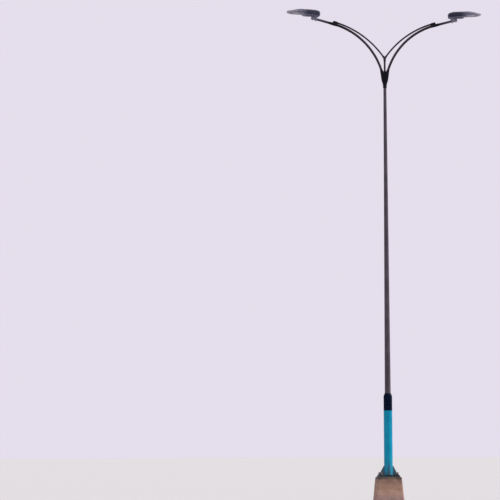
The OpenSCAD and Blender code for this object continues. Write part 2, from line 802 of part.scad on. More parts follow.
// Light panel with its small lenses, against the roof of the lens opening
module light_panel() {
    roof = lens_depth - front_depth;
    step_u = (lens_len - 2 * bead_margin) / bead_rows;
    step_v = (lens_w - 2 * bead_margin) / bead_columns;
    ball_r = (pow(bead_d / 2, 2) + pow(bead_h, 2)) / (2 * bead_h);
    color([0.75, 0.74, 0.66]) on_lamp() {
        translate([0, 0, roof - panel_t]) linear_extrude(panel_t) lens_outline(-2 * cover_fit);
        for (i = [0:bead_rows - 1], j = [0:bead_columns - 1])
            translate([
                lens_start + bead_margin + (i + 0.5) * step_u,
                (j + 0.5 - bead_columns / 2) * step_v,
                roof - panel_t
            ]) intersection() {
                translate([0, 0, ball_r - bead_h]) sphere(ball_r, $fn = 32);
                translate([0, 0, -bead_h - over]) cylinder(d = bead_d, h = bead_h + over, $fn = 32);
            }
    }
}

module lens_glass() {
    color([0.75, 0.78, 0.82, 0.35]) on_lamp() translate([0, 0, -front_depth])
        linear_extrude(glass_t) lens_outline(-cover_fit);
}

module lens_frame() {
    color([0.3, 0.31, 0.4]) on_lamp() translate([0, 0, -front_depth - lens_frame_t])
        linear_extrude(lens_frame_t) difference() {
            lens_outline(lens_frame_out);
            lens_outline(-lens_frame_lip);
        }
}

module left_lower_tube() { other_side() lower_tube(); }
module left_upper_tube() { other_side() upper_tube(); }
module left_tip_sleeve() { other_side() tip_sleeve(); }
module left_spigot() { other_side() spigot(); }
module left_knuckle() { other_side() knuckle(); }
module left_lamp_housing() { other_side() lamp_housing(); }
module left_gear_cover() { other_side() gear_cover(); }
module left_light_panel() { other_side() light_panel(); }
module left_lens_glass() { other_side() lens_glass(); }
module left_lens_frame() { other_side() lens_frame(); }

concrete_pedestal();
grout_bed();
base_plate();
base_gussets();
base_tube();
handhole_frame();
handhole_cover();
reducer_collar();
tapered_shaft();
arm_hub();
centre_stem();
fork_knot();
left_lower_tube();
left_upper_tube();
left_tip_sleeve();
left_spigot();
left_knuckle();
left_lamp_housing();
left_gear_cover();
left_light_panel();
left_lens_glass();
left_lens_frame();
lower_tube();  // right_lower_tube
upper_tube();  // right_upper_tube
tip_sleeve();  // right_tip_sleeve
spigot();  // right_spigot
knuckle();  // right_knuckle
lamp_housing();  // right_lamp_housing
gear_cover();  // right_gear_cover
light_panel();  // right_light_panel
lens_glass();  // right_lens_glass
lens_frame();  // right_lens_frame
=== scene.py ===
import random
from math import atan, cos, degrees, floor, pi, radians, sin, sqrt

import bmesh
import bpy
from mathutils import Euler, Matrix, Vector, noise
from mathutils.bvhtree import BVHTree


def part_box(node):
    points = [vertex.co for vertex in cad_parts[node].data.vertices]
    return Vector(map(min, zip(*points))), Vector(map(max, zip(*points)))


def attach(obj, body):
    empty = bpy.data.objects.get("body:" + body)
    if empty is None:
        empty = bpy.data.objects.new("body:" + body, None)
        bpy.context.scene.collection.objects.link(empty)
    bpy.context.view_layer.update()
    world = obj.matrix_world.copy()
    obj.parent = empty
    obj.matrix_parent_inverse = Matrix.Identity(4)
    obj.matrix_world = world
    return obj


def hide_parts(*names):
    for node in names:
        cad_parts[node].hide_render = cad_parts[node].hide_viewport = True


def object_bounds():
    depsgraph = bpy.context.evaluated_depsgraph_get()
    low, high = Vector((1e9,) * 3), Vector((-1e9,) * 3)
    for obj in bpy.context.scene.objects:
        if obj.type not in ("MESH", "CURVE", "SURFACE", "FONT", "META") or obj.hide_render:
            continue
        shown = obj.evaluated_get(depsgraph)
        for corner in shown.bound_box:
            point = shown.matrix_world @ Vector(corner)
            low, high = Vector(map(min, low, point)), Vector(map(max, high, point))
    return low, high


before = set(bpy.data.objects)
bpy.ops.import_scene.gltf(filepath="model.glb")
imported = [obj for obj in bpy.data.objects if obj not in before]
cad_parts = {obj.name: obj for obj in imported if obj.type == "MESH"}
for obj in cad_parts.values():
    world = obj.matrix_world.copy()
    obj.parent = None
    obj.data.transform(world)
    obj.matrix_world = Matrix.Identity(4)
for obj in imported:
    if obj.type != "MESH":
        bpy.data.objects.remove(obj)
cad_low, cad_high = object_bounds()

# Photograph: its frame, the row's vanishing point and its lens, in pixels
PHOTO_PX = 500
FOCAL_PX = 2200
HORIZON_Y_PX = 455
ROW_X_PX = 44

# Place of the camera, in metres, and its roll in degrees
CAMERA_HEIGHT = 1.156
CAMERA_REACH = 54.6
COLUMN_ASIDE = 3.4
CAMERA_ROLL = 0.206
SENSOR_WIDTH = 36

# Slopes in degrees
TIP_SLOPE = 15
ROOT_SLOPE = 74
LAMP_TILT = 3

# Sizes that the boxes of the frame don't give, in metres
PEDESTAL_TOP = 0.29
CHAMFER = 0.018
BOARD_HEIGHT = 0.1515
BOLT_EDGE = 0.05
BOLT_RADIUS = 0.015
BOLT_LENGTH = 0.096
BOLT_PITCH = 0.0035
BOLT_WASHER = 0.005
NUT_ACROSS = 0.046
NUT_HEIGHT = 0.024
LOCKNUT_HEIGHT = 0.015
GUSSET_THICKNESS = 0.012
COLLAR_RADIUS = 0.106
TUBES_BLACK = 1.15
SHAFT_TOP_RADIUS = 0.037
HUB_BODY = 0.41
HUB_LIP = 0.042
ROOT_ASIDE = 0.073
LOWER_BEND_R = 1.734
LOWER_RADIUS = 0.03015
STEM_RADIUS = 0.02415
SPIGOT_LENGTH = 0.575
SLEEVE_HALF = 0.1
SLEEVE_RADIUS = 0.03745
SLEEVE_RIM = 0.0033
KNUCKLE_WALL = 0.0073
KNUCKLE_GRIP = 0.15
BOSS_HEIGHT = 0.006
BOSS_INSET = 0.032
SEAT_START = 0.026
SEAT_LENGTH = 0.15
SEAT_WIDTH = 0.104
SEAT_THICKNESS = 0.012
GEAR_DEPTH = 0.056
GEAR_JOINT = 0.405
COVER_START = 0.19
COVER_LENGTH = 0.186
COVER_WIDTH = 0.232
COVER_THICKNESS = 0.005
COVER_CORNER = 0.02
FRONT_DEPTH = 0.02
LENS_START = 0.496
LENS_LENGTH = 0.232
LENS_WIDTH = 0.236
LENS_CORNER = 0.022
GLASS_THICKNESS = 0.005
FRAME_OUT = 0.009
FRAME_LIP = 0.008
FRAME_THICKNESS = 0.005
LIGHT_MARGIN = 0.018
FLOOR_HALF = 900
FLOOR_DROP = 0.0005

# Least radius of a turned form, room of a seal round its bar, and depth that a screw sinks in
CORE = 0.0002
SEAL_GAP = 0.0002
SINK = 0.0004

# Heads of the screws: radius, or width across the flats where the head is a hexagon, then height
EARTH_SCREW = (0.017, 0.0075)
LOCK_SCREW = (0.008, 0.004)
COLLAR_SCREW = (0.009, 0.005)
TUBE_SCREW = (0.013, 0.007)
SHAFT_SCREW = (0.007, 0.0045)
KNOT_SCREW = (0.005, 0.0032)
SLEEVE_SCREW = (0.006, 0.004)
CLAMP_SCREW = (0.017, 0.009)
SEAT_SCREW = (0.011, 0.006)
COVER_SCREW = (0.01, 0.005)
HINGE_SCREW = (0.0028, 0.0016)
LENS_SCREW = (0.0038, 0.0022)

# Power of the curve across the lamp's back, and share of its half breadth where the shoulder runs
DOME_POWER = 2.6
SHOULDER_SHARE = cos(radians(45)) ** (2 / DOME_POWER)

LIGHT_ROWS = 8

# Sizes that the boxes do give
PLATE_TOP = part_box("base_plate")[1].z
TUBE_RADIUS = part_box("base_tube")[1].x
TUBE_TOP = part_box("base_tube")[1].z
HUB_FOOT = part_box("arm_hub")[0].z
HUB_TOP = HUB_FOOT + HUB_BODY

UP = Vector((0, 0, 1))
CORNERS = ((1, 1), (-1, 1), (-1, -1), (1, -1))


def srgb(levels):
    """A colour given as 0 to 255 on a screen, as linear numbers."""
    def linear(share):
        return share / 12.92 if share <= 0.04045 else ((share + 0.055) / 1.055) ** 2.4
    return (*[linear(level / 255) for level in levels], 1)


def darker(levels):
    return tuple(level * 0.62 for level in levels)


def shift(x, y, z):
    return Matrix.Translation((x, y, z))


def raised(height):
    return shift(0, 0, height)


def turned(turn, axis):
    """A turn in degrees."""
    return Matrix.Rotation(radians(turn), 4, axis)


def round_point(radius, turn, height=0):
    """A point at a distance from local Z. The turn is in radians."""
    return Vector((radius * cos(turn), radius * sin(turn), height))


def spoke(turn):
    """Unit vector out from the column's axis, at a bearing in degrees."""
    return round_point(1, radians(turn))


def angles(count):
    """Even turns round a circle, in radians."""
    return [2 * pi * i / count for i in range(count)]


def add_object(name, data):
    made = bpy.data.objects.new(name, data)
    bpy.context.scene.collection.objects.link(made)
    return made


def mesh_of(name, form):
    """Turns a form into a mesh, which uses the form up."""
    data = bpy.data.meshes.new(name)
    form.to_mesh(data)
    form.free()
    return data


# Camera

def place_camera():
    centre = PHOTO_PX / 2
    pitch = atan((HORIZON_Y_PX - centre) / FOCAL_PX)
    row_turn = atan((centre - ROW_X_PX) / FOCAL_PX * cos(pitch))
    ahead = Vector((sin(row_turn), cos(row_turn), 0))
    aside = Vector((cos(row_turn), -sin(row_turn), 0))
    data = bpy.data.cameras.new("photo_camera")
    data.sensor_width = SENSOR_WIDTH
    data.lens = FOCAL_PX / PHOTO_PX * SENSOR_WIDTH
    data.clip_end = 2000
    camera = add_object("photo_camera", data)
    camera.location = UP * CAMERA_HEIGHT - ahead * CAMERA_REACH - aside * COLUMN_ASIDE
    look = Euler((pi / 2 + pitch, 0, -row_turn)).to_matrix().to_4x4() @ turned(-CAMERA_ROLL, "Z")
    camera.rotation_euler = look.to_euler()
    bpy.context.scene.camera = camera


# Shader expressions

class Wire:
    """One output of a shader node. Arithmetic on it adds Math nodes to its tree."""

    def __init__(self, owner, socket):
        self.owner = owner
        self.socket = socket

    def math(self, operation, *others):
        return self.owner.math(operation, self, *others)

    def __add__(self, other):
        return self.math("ADD", other)

    __radd__ = __add__

    def __sub__(self, other):
        return self.math("SUBTRACT", other)

    def __rsub__(self, other):
        return self.owner.math("SUBTRACT", other, self)

    def __mul__(self, other):
        return self.math("MULTIPLY", other)

    def __truediv__(self, other):
        return self.math("DIVIDE", other)

    def size(self):
        return self.math("ABSOLUTE")

    def step(self, low, high):
        """Rises smoothly from 0 at low to 1 at high."""
        return self.owner.node("MapRange", {"interpolation_type": "SMOOTHSTEP"},
                               {"Value": self, "From Min": low, "From Max": high})

    def near(self, level, close, far):
        """Is 1 within close of a level, and 0 beyond far."""
        return 1 - (self - level).size().step(close, far)


class Tree:
    """A node tree under construction, with one method that adds any node."""

    def __init__(self, tree):
        self.tree = tree
        tree.nodes.clear()

    def node(self, kind, settings, inputs, output=0):
        made = self.tree.nodes.new("ShaderNode" + kind)
        for name, value in settings.items():
            setattr(made, name, value)
        for key, value in inputs.items():
            socket = made.inputs[key]
            if isinstance(value, Wire):
                self.tree.links.new(value.socket, socket)
            else:
                socket.default_value = value
        return Wire(self, made.outputs[output]) if output is not None else None

    def math(self, operation, *values):
        return self.node("Math", {"operation": operation}, dict(enumerate(values)))

    def mix(self, first, second, share):
        """A colour between two colours. Three numbers are a colour from 0 to 255 on a screen."""
        first, second = (srgb(c) if isinstance(c, tuple) and len(c) == 3 else c for c in (first, second))
        return self.node("Mix", {"data_type": "RGBA"}, {0: share, 6: first, 7: second}, 2)

    def coats(self, tone, *layers):
        """Lays colours over a tone in turn, each with the share that it covers."""
        for colour, share in layers:
            tone = self.mix(tone, colour, share)
        return tone


class Finish(Tree):
    """A material under construction."""

    def __init__(self, name):
        self.material = bpy.data.materials.new(name)
        self.material.use_nodes = True
        super().__init__(self.material.node_tree)
        self.place = self.node("TexCoord", {}, {}, "Object")

    def axis(self, name):
        """One coordinate of the place on the object, in metres."""
        return self.node("SeparateXYZ", {}, {0: self.place}, name)

    def facing_up(self):
        normal = self.node("NewGeometry", {}, {}, "Normal")
        return self.node("SeparateXYZ", {}, {0: normal}, "Z")

    def stretched(self, x, y, z):
        return self.node("VectorMath", {"operation": "MULTIPLY"}, {0: self.place, 1: (x, y, z)})

    def noise(self, scale, detail=3, roughness=0.55, place=None):
        return self.node("TexNoise", {}, {"Vector": place or self.place, "Scale": scale, "Detail": detail,
                                          "Roughness": roughness})

    def runs(self, across, along, low, high, detail=4, roughness=0.6):
        """Streaks along Z, from noise drawn out that way."""
        return self.noise(1, detail, roughness, self.stretched(across, across, along)).step(low, high)

    def cells(self, scale, output="Distance"):
        return self.node("TexVoronoi", {}, {"Vector": self.place, "Scale": scale}, output)

    def chance(self, level):
        """A number from 0 to 1 that belongs to each whole level."""
        return self.node("TexWhiteNoise", {"noise_dimensions": "1D"}, {"W": level}, "Value")

    def lamp_place(self):
        """Length from the rear end and height above the parting line, on either lamp."""
        rear = lamp_rear()
        lean = radians(LAMP_TILT)
        out = self.axis("X").size() - rear.x
        up = self.axis("Z") - rear.z
        return out * cos(lean) + up * sin(lean), up * cos(lean) - out * sin(lean)

    def close(self, colour, roughness, relief=None, shine=0.5, **uniform):
        """The shader and the output. relief is a height in metres.
        Uniform values go on the shader's own sockets."""
        inputs = {"Base Color": colour, "Roughness": roughness, "Specular IOR Level": shine}
        if relief:
            inputs["Normal"] = self.node("Bump", {}, {"Height": relief, "Distance": 1, "Strength": 1})
        inputs.update({name.replace("_", " "): value for name, value in uniform.items()})
        shader = self.node("BsdfPrincipled", {}, inputs)
        self.node("OutputMaterial", {}, {0: shader}, None)
        return self.material


# Finishes of the column

DUST = (158, 148, 140)
GRIME = (24, 23, 27)
SPLASH = (120, 106, 94)
RUST = (112, 62, 36)
RUST_DARK = (58, 36, 27)
# Near black, for the darkened tips of the tubes.
TIP_DARK = (8, 8, 12)


def weathered_paint(name, colour, faded, gloss=0.42, shine=0.2, streaks=0.35, dust=0.35, rust=0,
                    foot=None, splash=0, tip=None):
    """Paint on steel: faded in patches, sprayed with a fine peel, dirt run down it, rust where it chipped.
    foot is the height of the column's foot, where rust and splashed dirt gather.
    tip is the reach from the column's axis at which the paint has darkened to near black."""
    f = Finish(name)
    above_foot = f.axis("Z") - foot if foot else None
    patches = f.noise(3.2, 4).step(0.35, 0.68)
    runs = f.runs(34, 1.3, 0.5, 0.72)
    drips = f.runs(150, 7, 0.6, 0.76, 3, 0.5)
    fine = f.noise(160, 2)
    peel = f.noise(520, 1)
    chipping = f.noise(46, 5, 0.62)
    chips = chipping.step(0.685, 0.7)
    chip_edge = chipping.step(0.655, 0.685) - chips
    up = f.facing_up().step(0.25, 0.95)
    tone = f.coats(
        colour,
        (faded, patches * 0.55 + fine * 0.18),
        (GRIME, runs * streaks + drips * streaks * 0.5),
        (DUST, up * dust * f.noise(75, 6, 0.7).step(0.2, 0.85)))
    rough = patches * 0.1 + runs * 0.12 + up * 0.2 + gloss
    relief = fine * 0.0002 + peel * 0.00008 + f.noise(24, 2) * 0.0005 + drips * 0.00025 - chips * 0.0004
    if rust:
        spread = f.noise(19, 6, 0.65)
        grain = f.noise(120, 4)
        low = above_foot.near(0, 0, 0.17) if foot else 0
        mask = (spread + low * 0.19).step(0.62, 0.74) * rust
        mask = (mask + chips * rust).math("MINIMUM", 1)
        tone = f.mix(tone, f.mix(RUST, RUST_DARK, grain.step(0.35, 0.65)), mask)
        rough = rough + mask * 0.35
        relief = relief + mask * grain * 0.0012
    else:
        tone = f.mix(tone, faded, chips * 0.7)
    tone = f.mix(tone, faded, chip_edge * 0.35)
    if splash:
        low = 1 - above_foot.step(0, 0.5)
        spots = f.noise(60, 4, 0.7).step(0.42, 0.66)
        tone = f.mix(tone, SPLASH, low * spots * splash)
        rough = rough + low * spots * 0.25
    if tip:
        # Darkens the paint to near black towards the tip.
        tone = f.mix(tone, TIP_DARK, f.axis("X").size().step(tip - 0.5, tip) * 0.85)
    return f.close(tone, rough, relief, shine)


def cast_concrete():
    """Concrete cast against boards: a tone for each board, lift lines, pinholes, rust and damp runs, with
    painted shade in a band under the plate.
    """
    f = Finish("cast_concrete")
    height = f.axis("Z")
    x, y = f.axis("X").size(), f.axis("Y").size()
    broad = f.noise(2.6, 5, 0.6)
    cloud = f.noise(9, 5, 0.6)
    sand = f.noise(260, 3, 0.7)
    stone = f.cells(75).step(0.1, 0.45)
    pin = 1 - f.cells(34).step(0.05, 0.11)
    pin = pin * f.noise(6, 2).step(0.5, 0.62)
    small_pin = (1 - f.cells(95).step(0.06, 0.12)) * f.noise(14, 2).step(0.45, 0.6)
    level = height * 6.6
    board = f.chance(level.math("FLOOR"))
    line = (level.math("FRACT") - 0.5).size().near(0.5, 0, 0.022)
    wood = f.runs(5, 170, 0.4, 0.62)
    runs = f.runs(16, 0.9, 0.48, 0.75, 5)
    foot = 1 - height.step(0, 0.2)
    shoulder = height.step(0.42, 0.6)
    # top and rim mark the band under the plate, where the concrete is darkened as painted shade.
    top = height.step(0.42, 0.5) * 0.5 + height.step(0.52, 0.57) * 0.5
    rim = height.step(0.53, 0.592)
    under_bolt = x.math("MINIMUM", y).near(0.2, 0.002, 0.026) * height.step(0.2, 0.6)
    under_bolt = under_bolt * f.runs(60, 3, 0.42, 0.62)
    tone = f.coats(
        (166, 129, 112),
        ((188, 154, 136), broad.step(0.3, 0.7)),
        ((184, 152, 150), (1 - height.step(0.06, 0.27)) * 0.8),
        ((138, 104, 90), board * 0.34),
        ((128, 100, 88), cloud.step(0.45, 0.75) * 0.45),
        ((204, 184, 170), sand.step(0.62, 0.8) * 0.4),
        ((92, 72, 64), runs * (shoulder * 0.3 + 0.16)),
        # Painted shade under the plate: darker towards the top, and dark grey at the rim.
        ((70, 60, 60), top * cloud.step(0.25, 0.55) * 0.72),
        ((56, 62, 63), rim * (cloud.step(0.2, 0.6) * 0.35 + 0.5)),
        ((116, 98, 94), foot * cloud.step(0.3, 0.6) * 0.3),
        (RUST, under_bolt * 0.55),
        ((78, 62, 55), pin * 0.8 + small_pin * 0.5),
        ((104, 80, 70), line * 0.5 + wood * 0.1))
    rough = 0.86 + sand * 0.1 - runs * 0.06
    relief = sand * 0.0009 + stone * 0.0006 + cloud * 0.0014 - pin * 0.004 - small_pin * 0.0016
    relief = relief - line * 0.002 + board * 0.0012 + wood * 0.0004
    return f.close(tone, rough, relief, 0.25)


def mortar():
    """Trowelled mortar, painted dark grey as shade under the plate, with rust that has run out from under the
    plate.
    """
    f = Finish("mortar")
    cloud = f.noise(14, 5, 0.6)
    sand = f.noise(320, 3, 0.7)
    trowel = f.runs(9, 90, 0.4, 0.65, 3, 0.5)
    tone = f.coats(
        # The dark grey tones are painted shade under the plate; the rust is real.
        (88, 84, 84),
        ((64, 61, 62), cloud.step(0.35, 0.7)),
        ((118, 112, 108), sand.step(0.6, 0.8) * 0.5),
        (RUST, f.noise(11, 5).step(0.52, 0.7) * 0.35))
    return f.close(tone, 0.9 + sand * 0.08, sand * 0.0008 + cloud * 0.003 + trowel * 0.0008, 0.25)


def zinc():
    """Hot-dip zinc with its crystals, gone dull and brown."""
    f = Finish("zinc")
    shade = f.node("SeparateColor", {}, {0: f.cells(210, "Color")}, 0)
    dull = f.noise(40, 4).step(0.4, 0.7)
    tone = f.coats(
        (112, 114, 120),
        ((70, 74, 80), shade * 0.6),
        (RUST, f.noise(70, 5).step(0.48, 0.62) * 0.7),
        (RUST_DARK, f.noise(26, 4).step(0.5, 0.66) * 0.6))
    rough = shade * 0.15 + dull * 0.2 + 0.45
    return f.close(tone, rough, shade * 0.0002 + f.noise(300, 2) * 0.0003, Metallic=0.5)


def screw_steel(name, colour, metallic):
    """Screws with turning marks and patches of dark dirt."""
    f = Finish(name)
    marks = f.noise(500, 2, place=f.stretched(1, 1, 0.1))
    tone = f.coats(colour, (darker(colour), marks), (RUST_DARK, f.noise(150, 3).step(0.5, 0.7) * 0.5))
    return f.close(tone, marks * 0.2 + 0.28, marks * 0.0001, Metallic=metallic)


def weld_metal(name, colour):
    """Weld runs painted with the steel, where rust starts first."""
    f = Finish(name)
    grain = f.noise(130, 4)
    tone = f.coats(
        colour,
        (darker(colour), grain.step(0.35, 0.65)),
        (RUST, f.noise(24, 5).step(0.55, 0.68) * 0.7))
    return f.close(tone, grain * 0.2 + 0.5, grain * 0.0006, 0.3)


def rubber_seal():
    """Rubber that has gone grey where the sun reaches it."""
    f = Finish("rubber_seal")
    grain = f.noise(240, 3)
    up = f.facing_up().step(0, 0.9)
    tone = f.mix((18, 18, 20), (48, 46, 46), grain.step(0.45, 0.8) * 0.6 + up * 0.3)
    return f.close(tone, grain * 0.15 + 0.7, grain * 0.0002, 0.2)


def cast_coating(name, colour, worn, dust=0.4, shine=0.2, parting=None):
    """Powder coating on a sand casting: a pebbled skin, dull on top, worn along its form.
    parting names the axis that the mould's parting line crosses at zero."""
    f = Finish(name)
    pebble = f.noise(420, 3, 0.6)
    cloud = f.noise(12, 4)
    pits = (1 - f.cells(150).step(0.06, 0.14)) * f.noise(18, 2).step(0.5, 0.62)
    up = f.facing_up()
    runs = f.runs(40, 3, 0.5, 0.75)
    tone = f.coats(
        colour,
        (worn, cloud.step(0.2, 0.85) * 0.6 + pebble * 0.15),
        (DUST, up.step(0.2, 0.9) * f.noise(80, 6, 0.7).step(0.2, 0.85) * dust),
        (GRIME, runs * 0.3 + pits * 0.5))
    relief = pebble * 0.0004 + cloud * 0.0005 - pits * 0.0008
    if parting:
        seam = f.axis(parting).near(0, 0.0005, 0.0016)
        tone = f.mix(tone, worn, seam * 0.5)
        relief = relief + seam * 0.0006
    rough = pebble * 0.12 + up.step(0.2, 0.9) * 0.2 + 0.45
    return f.close(tone, rough, relief, shine)


def lamp_coating():
    """Navy powder coating of the lamp: darkest at its rear, faded towards the nose, dirt between the fins,
    with the joint of its two halves and the joint of its gear box, and painted light that makes its downward
    faces paler."""
    f = Finish("lamp_coating")
    along, height = f.lamp_place()
    pebble = f.noise(460, 3, 0.6)
    cloud = f.noise(10, 4)
    up = f.facing_up()
    runs = f.runs(60, 8, 0.5, 0.72)
    # below marks the downward faces, which are painted paler as painted light on the shaded underside.
    below = 1 - up.step(-0.95, -0.35)
    joint = height.near(0, 0.0009, 0.0019) * (1 - up.size().step(0.75, 0.9))
    box_joint = along.near(GEAR_JOINT, 0.0008, 0.0018) * (1 - height.step(-0.002, 0.001))
    tone = f.coats(
        (26, 30, 52),
        ((112, 108, 132), along.step(0.28, 0.52)),
        ((176, 168, 184), along.step(0.5, 0.8) * 0.9),
        ((78, 80, 98), cloud.step(0.2, 0.85) * 0.22 + pebble * 0.1),
        # Painted light: the downward faces are paler.
        ((116, 114, 138), below * 0.75),
        (DUST, up.step(0.3, 0.95) * f.noise(85, 6, 0.7).step(0.15, 0.9) * 0.45),
        (GRIME, runs * (1 - up.size().step(0.5, 0.9)) * 0.35),
        (GRIME, joint * 0.85 + box_joint * 0.8))
    relief = pebble * 0.0004 + cloud * 0.0006 - joint * 0.0022 - box_joint * 0.002
    rough = pebble * 0.12 + up.step(0.2, 0.9) * 0.22 + 0.42
    return f.close(tone, rough, relief, 0.22)


def spigot_paint():
    """Paint of the spigot, near black towards the sleeve and paler near the lamp."""
    f = Finish("spigot_paint")
    cloud = f.noise(14, 4)
    fine = f.noise(220, 3)
    runs = f.runs(50, 12, 0.5, 0.72)
    up = f.facing_up().step(0.3, 0.95)
    tone = f.coats(
        (8, 7, 13),
        ((80, 76, 94), f.lamp_place()[0].step(-0.28, 0)),
        ((60, 56, 70), cloud.step(0.2, 0.85) * 0.15 + fine * 0.1),
        (GRIME, runs * 0.4),
        (DUST, up * f.noise(75, 6, 0.7).step(0.2, 0.85) * 0.2))
    return f.close(tone, fine * 0.15 + 0.42, fine * 0.0002 + cloud * 0.0004, 0.1)


def light_board():
    """Board of the light panel: grey enamel, a small yellow light under each clear dome, a painted highlight
    on each dome, and its tracks.
    """
    f = Finish("light_board")
    along, across = f.lamp_place()[0], f.axis("Y")
    grain = f.noise(90, 3)
    step_u = (LENS_LENGTH - 2 * LIGHT_MARGIN) / LIGHT_ROWS
    step_v = (LENS_WIDTH - 2 * LIGHT_MARGIN) / LIGHT_ROWS
    row = ((along - LENS_START - LIGHT_MARGIN) / step_u).math("FRACT") - 0.5
    column = ((across + LENS_WIDTH / 2 - LIGHT_MARGIN) / step_v).math("FRACT") - 0.5
    reach = row.size().math("MAXIMUM", column.size())
    light = 1 - reach.step(0.12, 0.14)
    # The domes' mask; the paler grey laid with it is a painted highlight.
    bead_and_highlight = 1 - (row * row + column * column).step(0.075, 0.095)
    track = row.near(0, 0.02, 0.035) * (1 - bead_and_highlight)
    tone = f.coats(
        (70, 71, 82),
        ((54, 55, 66), grain.step(0.3, 0.8)),
        # Painted highlight on each dome.
        ((124, 126, 136), bead_and_highlight * 0.7),
        ((202, 168, 84), light),
        ((132, 104, 60), track * 0.6))
    return f.close(tone, grain * 0.1 + 0.3 - bead_and_highlight * 0.15, grain * 0.0001 + track * 0.0002)


def clear_glass():
    """Toughened glass with a dusty film on its outside, thicker along its edge."""
    f = Finish("clear_glass")
    along, across = f.lamp_place()[0], f.axis("Y")
    middle_u = LENS_START + LENS_LENGTH / 2
    edge = (along - middle_u).size().math("MAXIMUM", across.size()).step(0.085, 0.112)
    film = f.noise(30, 4).step(0.2, 0.9) * 0.6
    spots = f.noise(160, 2).step(0.66, 0.74)
    tone = f.coats(
        (158, 164, 176),
        ((104, 102, 112), film * 0.4 + edge * 0.4),
        ((120, 112, 106), spots * 0.5))
    return f.close(tone, film * 0.12 + spots * 0.3 + edge * 0.2 + 0.04, shine=0.1,
                   Transmission_Weight=0.9, IOR=1.5)


# Mesh pieces

def add_piece(name, form, finish, sharp=40):
    """Turns a form into a piece that rides on the column."""
    bmesh.ops.remove_doubles(form, verts=form.verts, dist=1e-6)
    bmesh.ops.recalc_face_normals(form, faces=form.faces)
    data = mesh_of(name, form)
    data.shade_smooth()
    data.set_sharp_from_angle(angle=radians(sharp))
    data.materials.append(finish)
    piece = add_object(name, data)
    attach(piece, "root")
    return piece


def add_each(form, add, places, *sizes):
    """Adds the same thing at each place."""
    for place in places:
        add(form, place, *sizes)


def add_trim(name, finish, slot, add, *values, **how):
    """A piece that one call forms."""
    form = bmesh.new()
    add(form, *values, **how)
    add_piece(name, form, finish)


def ring_strip(form, rings, closed=False):
    """Joins rings of points, each with the same number, into a skin. Caps its ends if it isn't closed."""
    made = [[form.verts.new(point) for point in ring] for ring in rings]
    count = len(rings[0])
    pairs = list(zip(made, made[1:])) + ([(made[-1], made[0])] if closed else [])
    for first, second in pairs:
        for i in range(count):
            j = (i + 1) % count
            form.faces.new((first[i], first[j], second[j], second[i]))
    if not closed:
        form.faces.new(list(reversed(made[0])))
        form.faces.new(made[-1])


def lathe(form, where, outline, around=40, trim=None):
    """Turns an outline of (radius, height) about local Z. trim may cut the radius at an angle."""
    ring_strip(form, [[where @ round_point(trim(t, radius) if trim else radius, t, height)
                       for t in angles(around)] for radius, height in outline], closed=True)


def hexagon(across):
    """Trims a radius to a hexagon of that width across its flats."""
    def trim(angle, radius):
        turn = (angle + pi / 6) % (pi / 3) - pi / 6
        return min(radius, across / 2 / cos(turn))
    return trim


def add_nut(form, where, across, height, bore):
    bevel = height * 0.12
    tip = across / 2 * 1.155
    outline = [(bore, 0), (across / 2 * 0.98, 0), (tip, bevel), (tip, height - bevel),
               (across / 2 * 0.98, height), (bore + 0.0015, height), (bore, height - 0.0015)]
    lathe(form, where, outline, 48, hexagon(across))


def add_washer(form, where, outer, bore, height):
    edge = height * 0.2
    lathe(form, where, [(bore, 0), (outer - edge, 0), (outer, edge), (outer, height - edge),
                        (outer - edge, height), (bore, height)])


def add_thread(form, where, radius, length, pitch):
    """A threaded rod with a rounded end, its thread a true helix."""
    steps = int(length / pitch * 4)
    depth = pitch * 0.3
    rings = []
    for k in range(steps + 1):
        height = length * k / steps
        end = max(0, height - length + 0.004)
        ring = []
        for t in angles(20):
            wave = 0.5 + 0.5 * cos(2 * pi * height / pitch - t)
            ring.append(where @ round_point(radius - depth * wave - end * 0.6, t, height))
        rings.append(ring)
    ring_strip(form, rings)


def add_hex_screw(form, where, across, head):
    """Hexagon head with a pressed washer face."""
    flange = across * 0.62
    tip = across / 2 * 1.155
    washer = [(CORE, 0), (flange, 0), (flange, head * 0.14), (across * 0.52, head * 0.24)]
    lathe(form, where, washer, 36)
    body = [(CORE, head * 0.2), (across / 2 * 0.99, head * 0.2), (tip, head * 0.3),
            (tip, head * 0.88), (across / 2 * 0.95, head), (CORE, head)]
    lathe(form, where, body, 36, hexagon(across))


def add_socket_screw(form, where, radius, head):
    """Button head with a hexagon recess."""
    recess = radius * 0.42
    lathe(form, where, [(radius, 0), (radius, head * 0.25), (radius * 0.9, head * 0.62),
                        (radius * 0.66, head * 0.9), (recess * 1.2, head), (recess, head * 0.96)], 32)
    lathe(form, where, [(recess, head * 0.96), (recess, head * 0.3), (CORE, head * 0.25)], 32,
          hexagon(recess * 1.75))


def add_weld(form, points, radius, closed=False, ripple=0.0055, sides=7):
    """A rippled weld run along a line of points."""
    track = list(points) + ([points[0]] if closed else [])
    lengths = [0]
    for a, b in zip(track, track[1:]):
        lengths.append(lengths[-1] + (b - a).length)
    total = lengths[-1]
    count = max(6, int(total / ripple) * 3)
    rings = []
    segment = 0
    for k in range(count if closed else count + 1):
        travel = total * k / count
        while segment < len(track) - 2 and lengths[segment + 1] < travel:
            segment += 1
        a, b = track[segment], track[segment + 1]
        share = (travel - lengths[segment]) / max(1e-9, lengths[segment + 1] - lengths[segment])
        centre = a.lerp(b, min(1, share))
        along = (b - a).normalized()
        side = along.cross(Vector((0.31, 0.17, 0.93))).normalized()
        lift = along.cross(side)
        phase = (travel / ripple) % 1
        ends = 1 if closed else min(1, 0.35 + min(k, count - k) * 0.3)
        r = radius * (0.86 + 0.2 * sin(pi * phase)) * ends
        rings.append([centre + (side * cos(t) + lift * sin(t)) * r for t in angles(sides)])
    ring_strip(form, rings, closed)


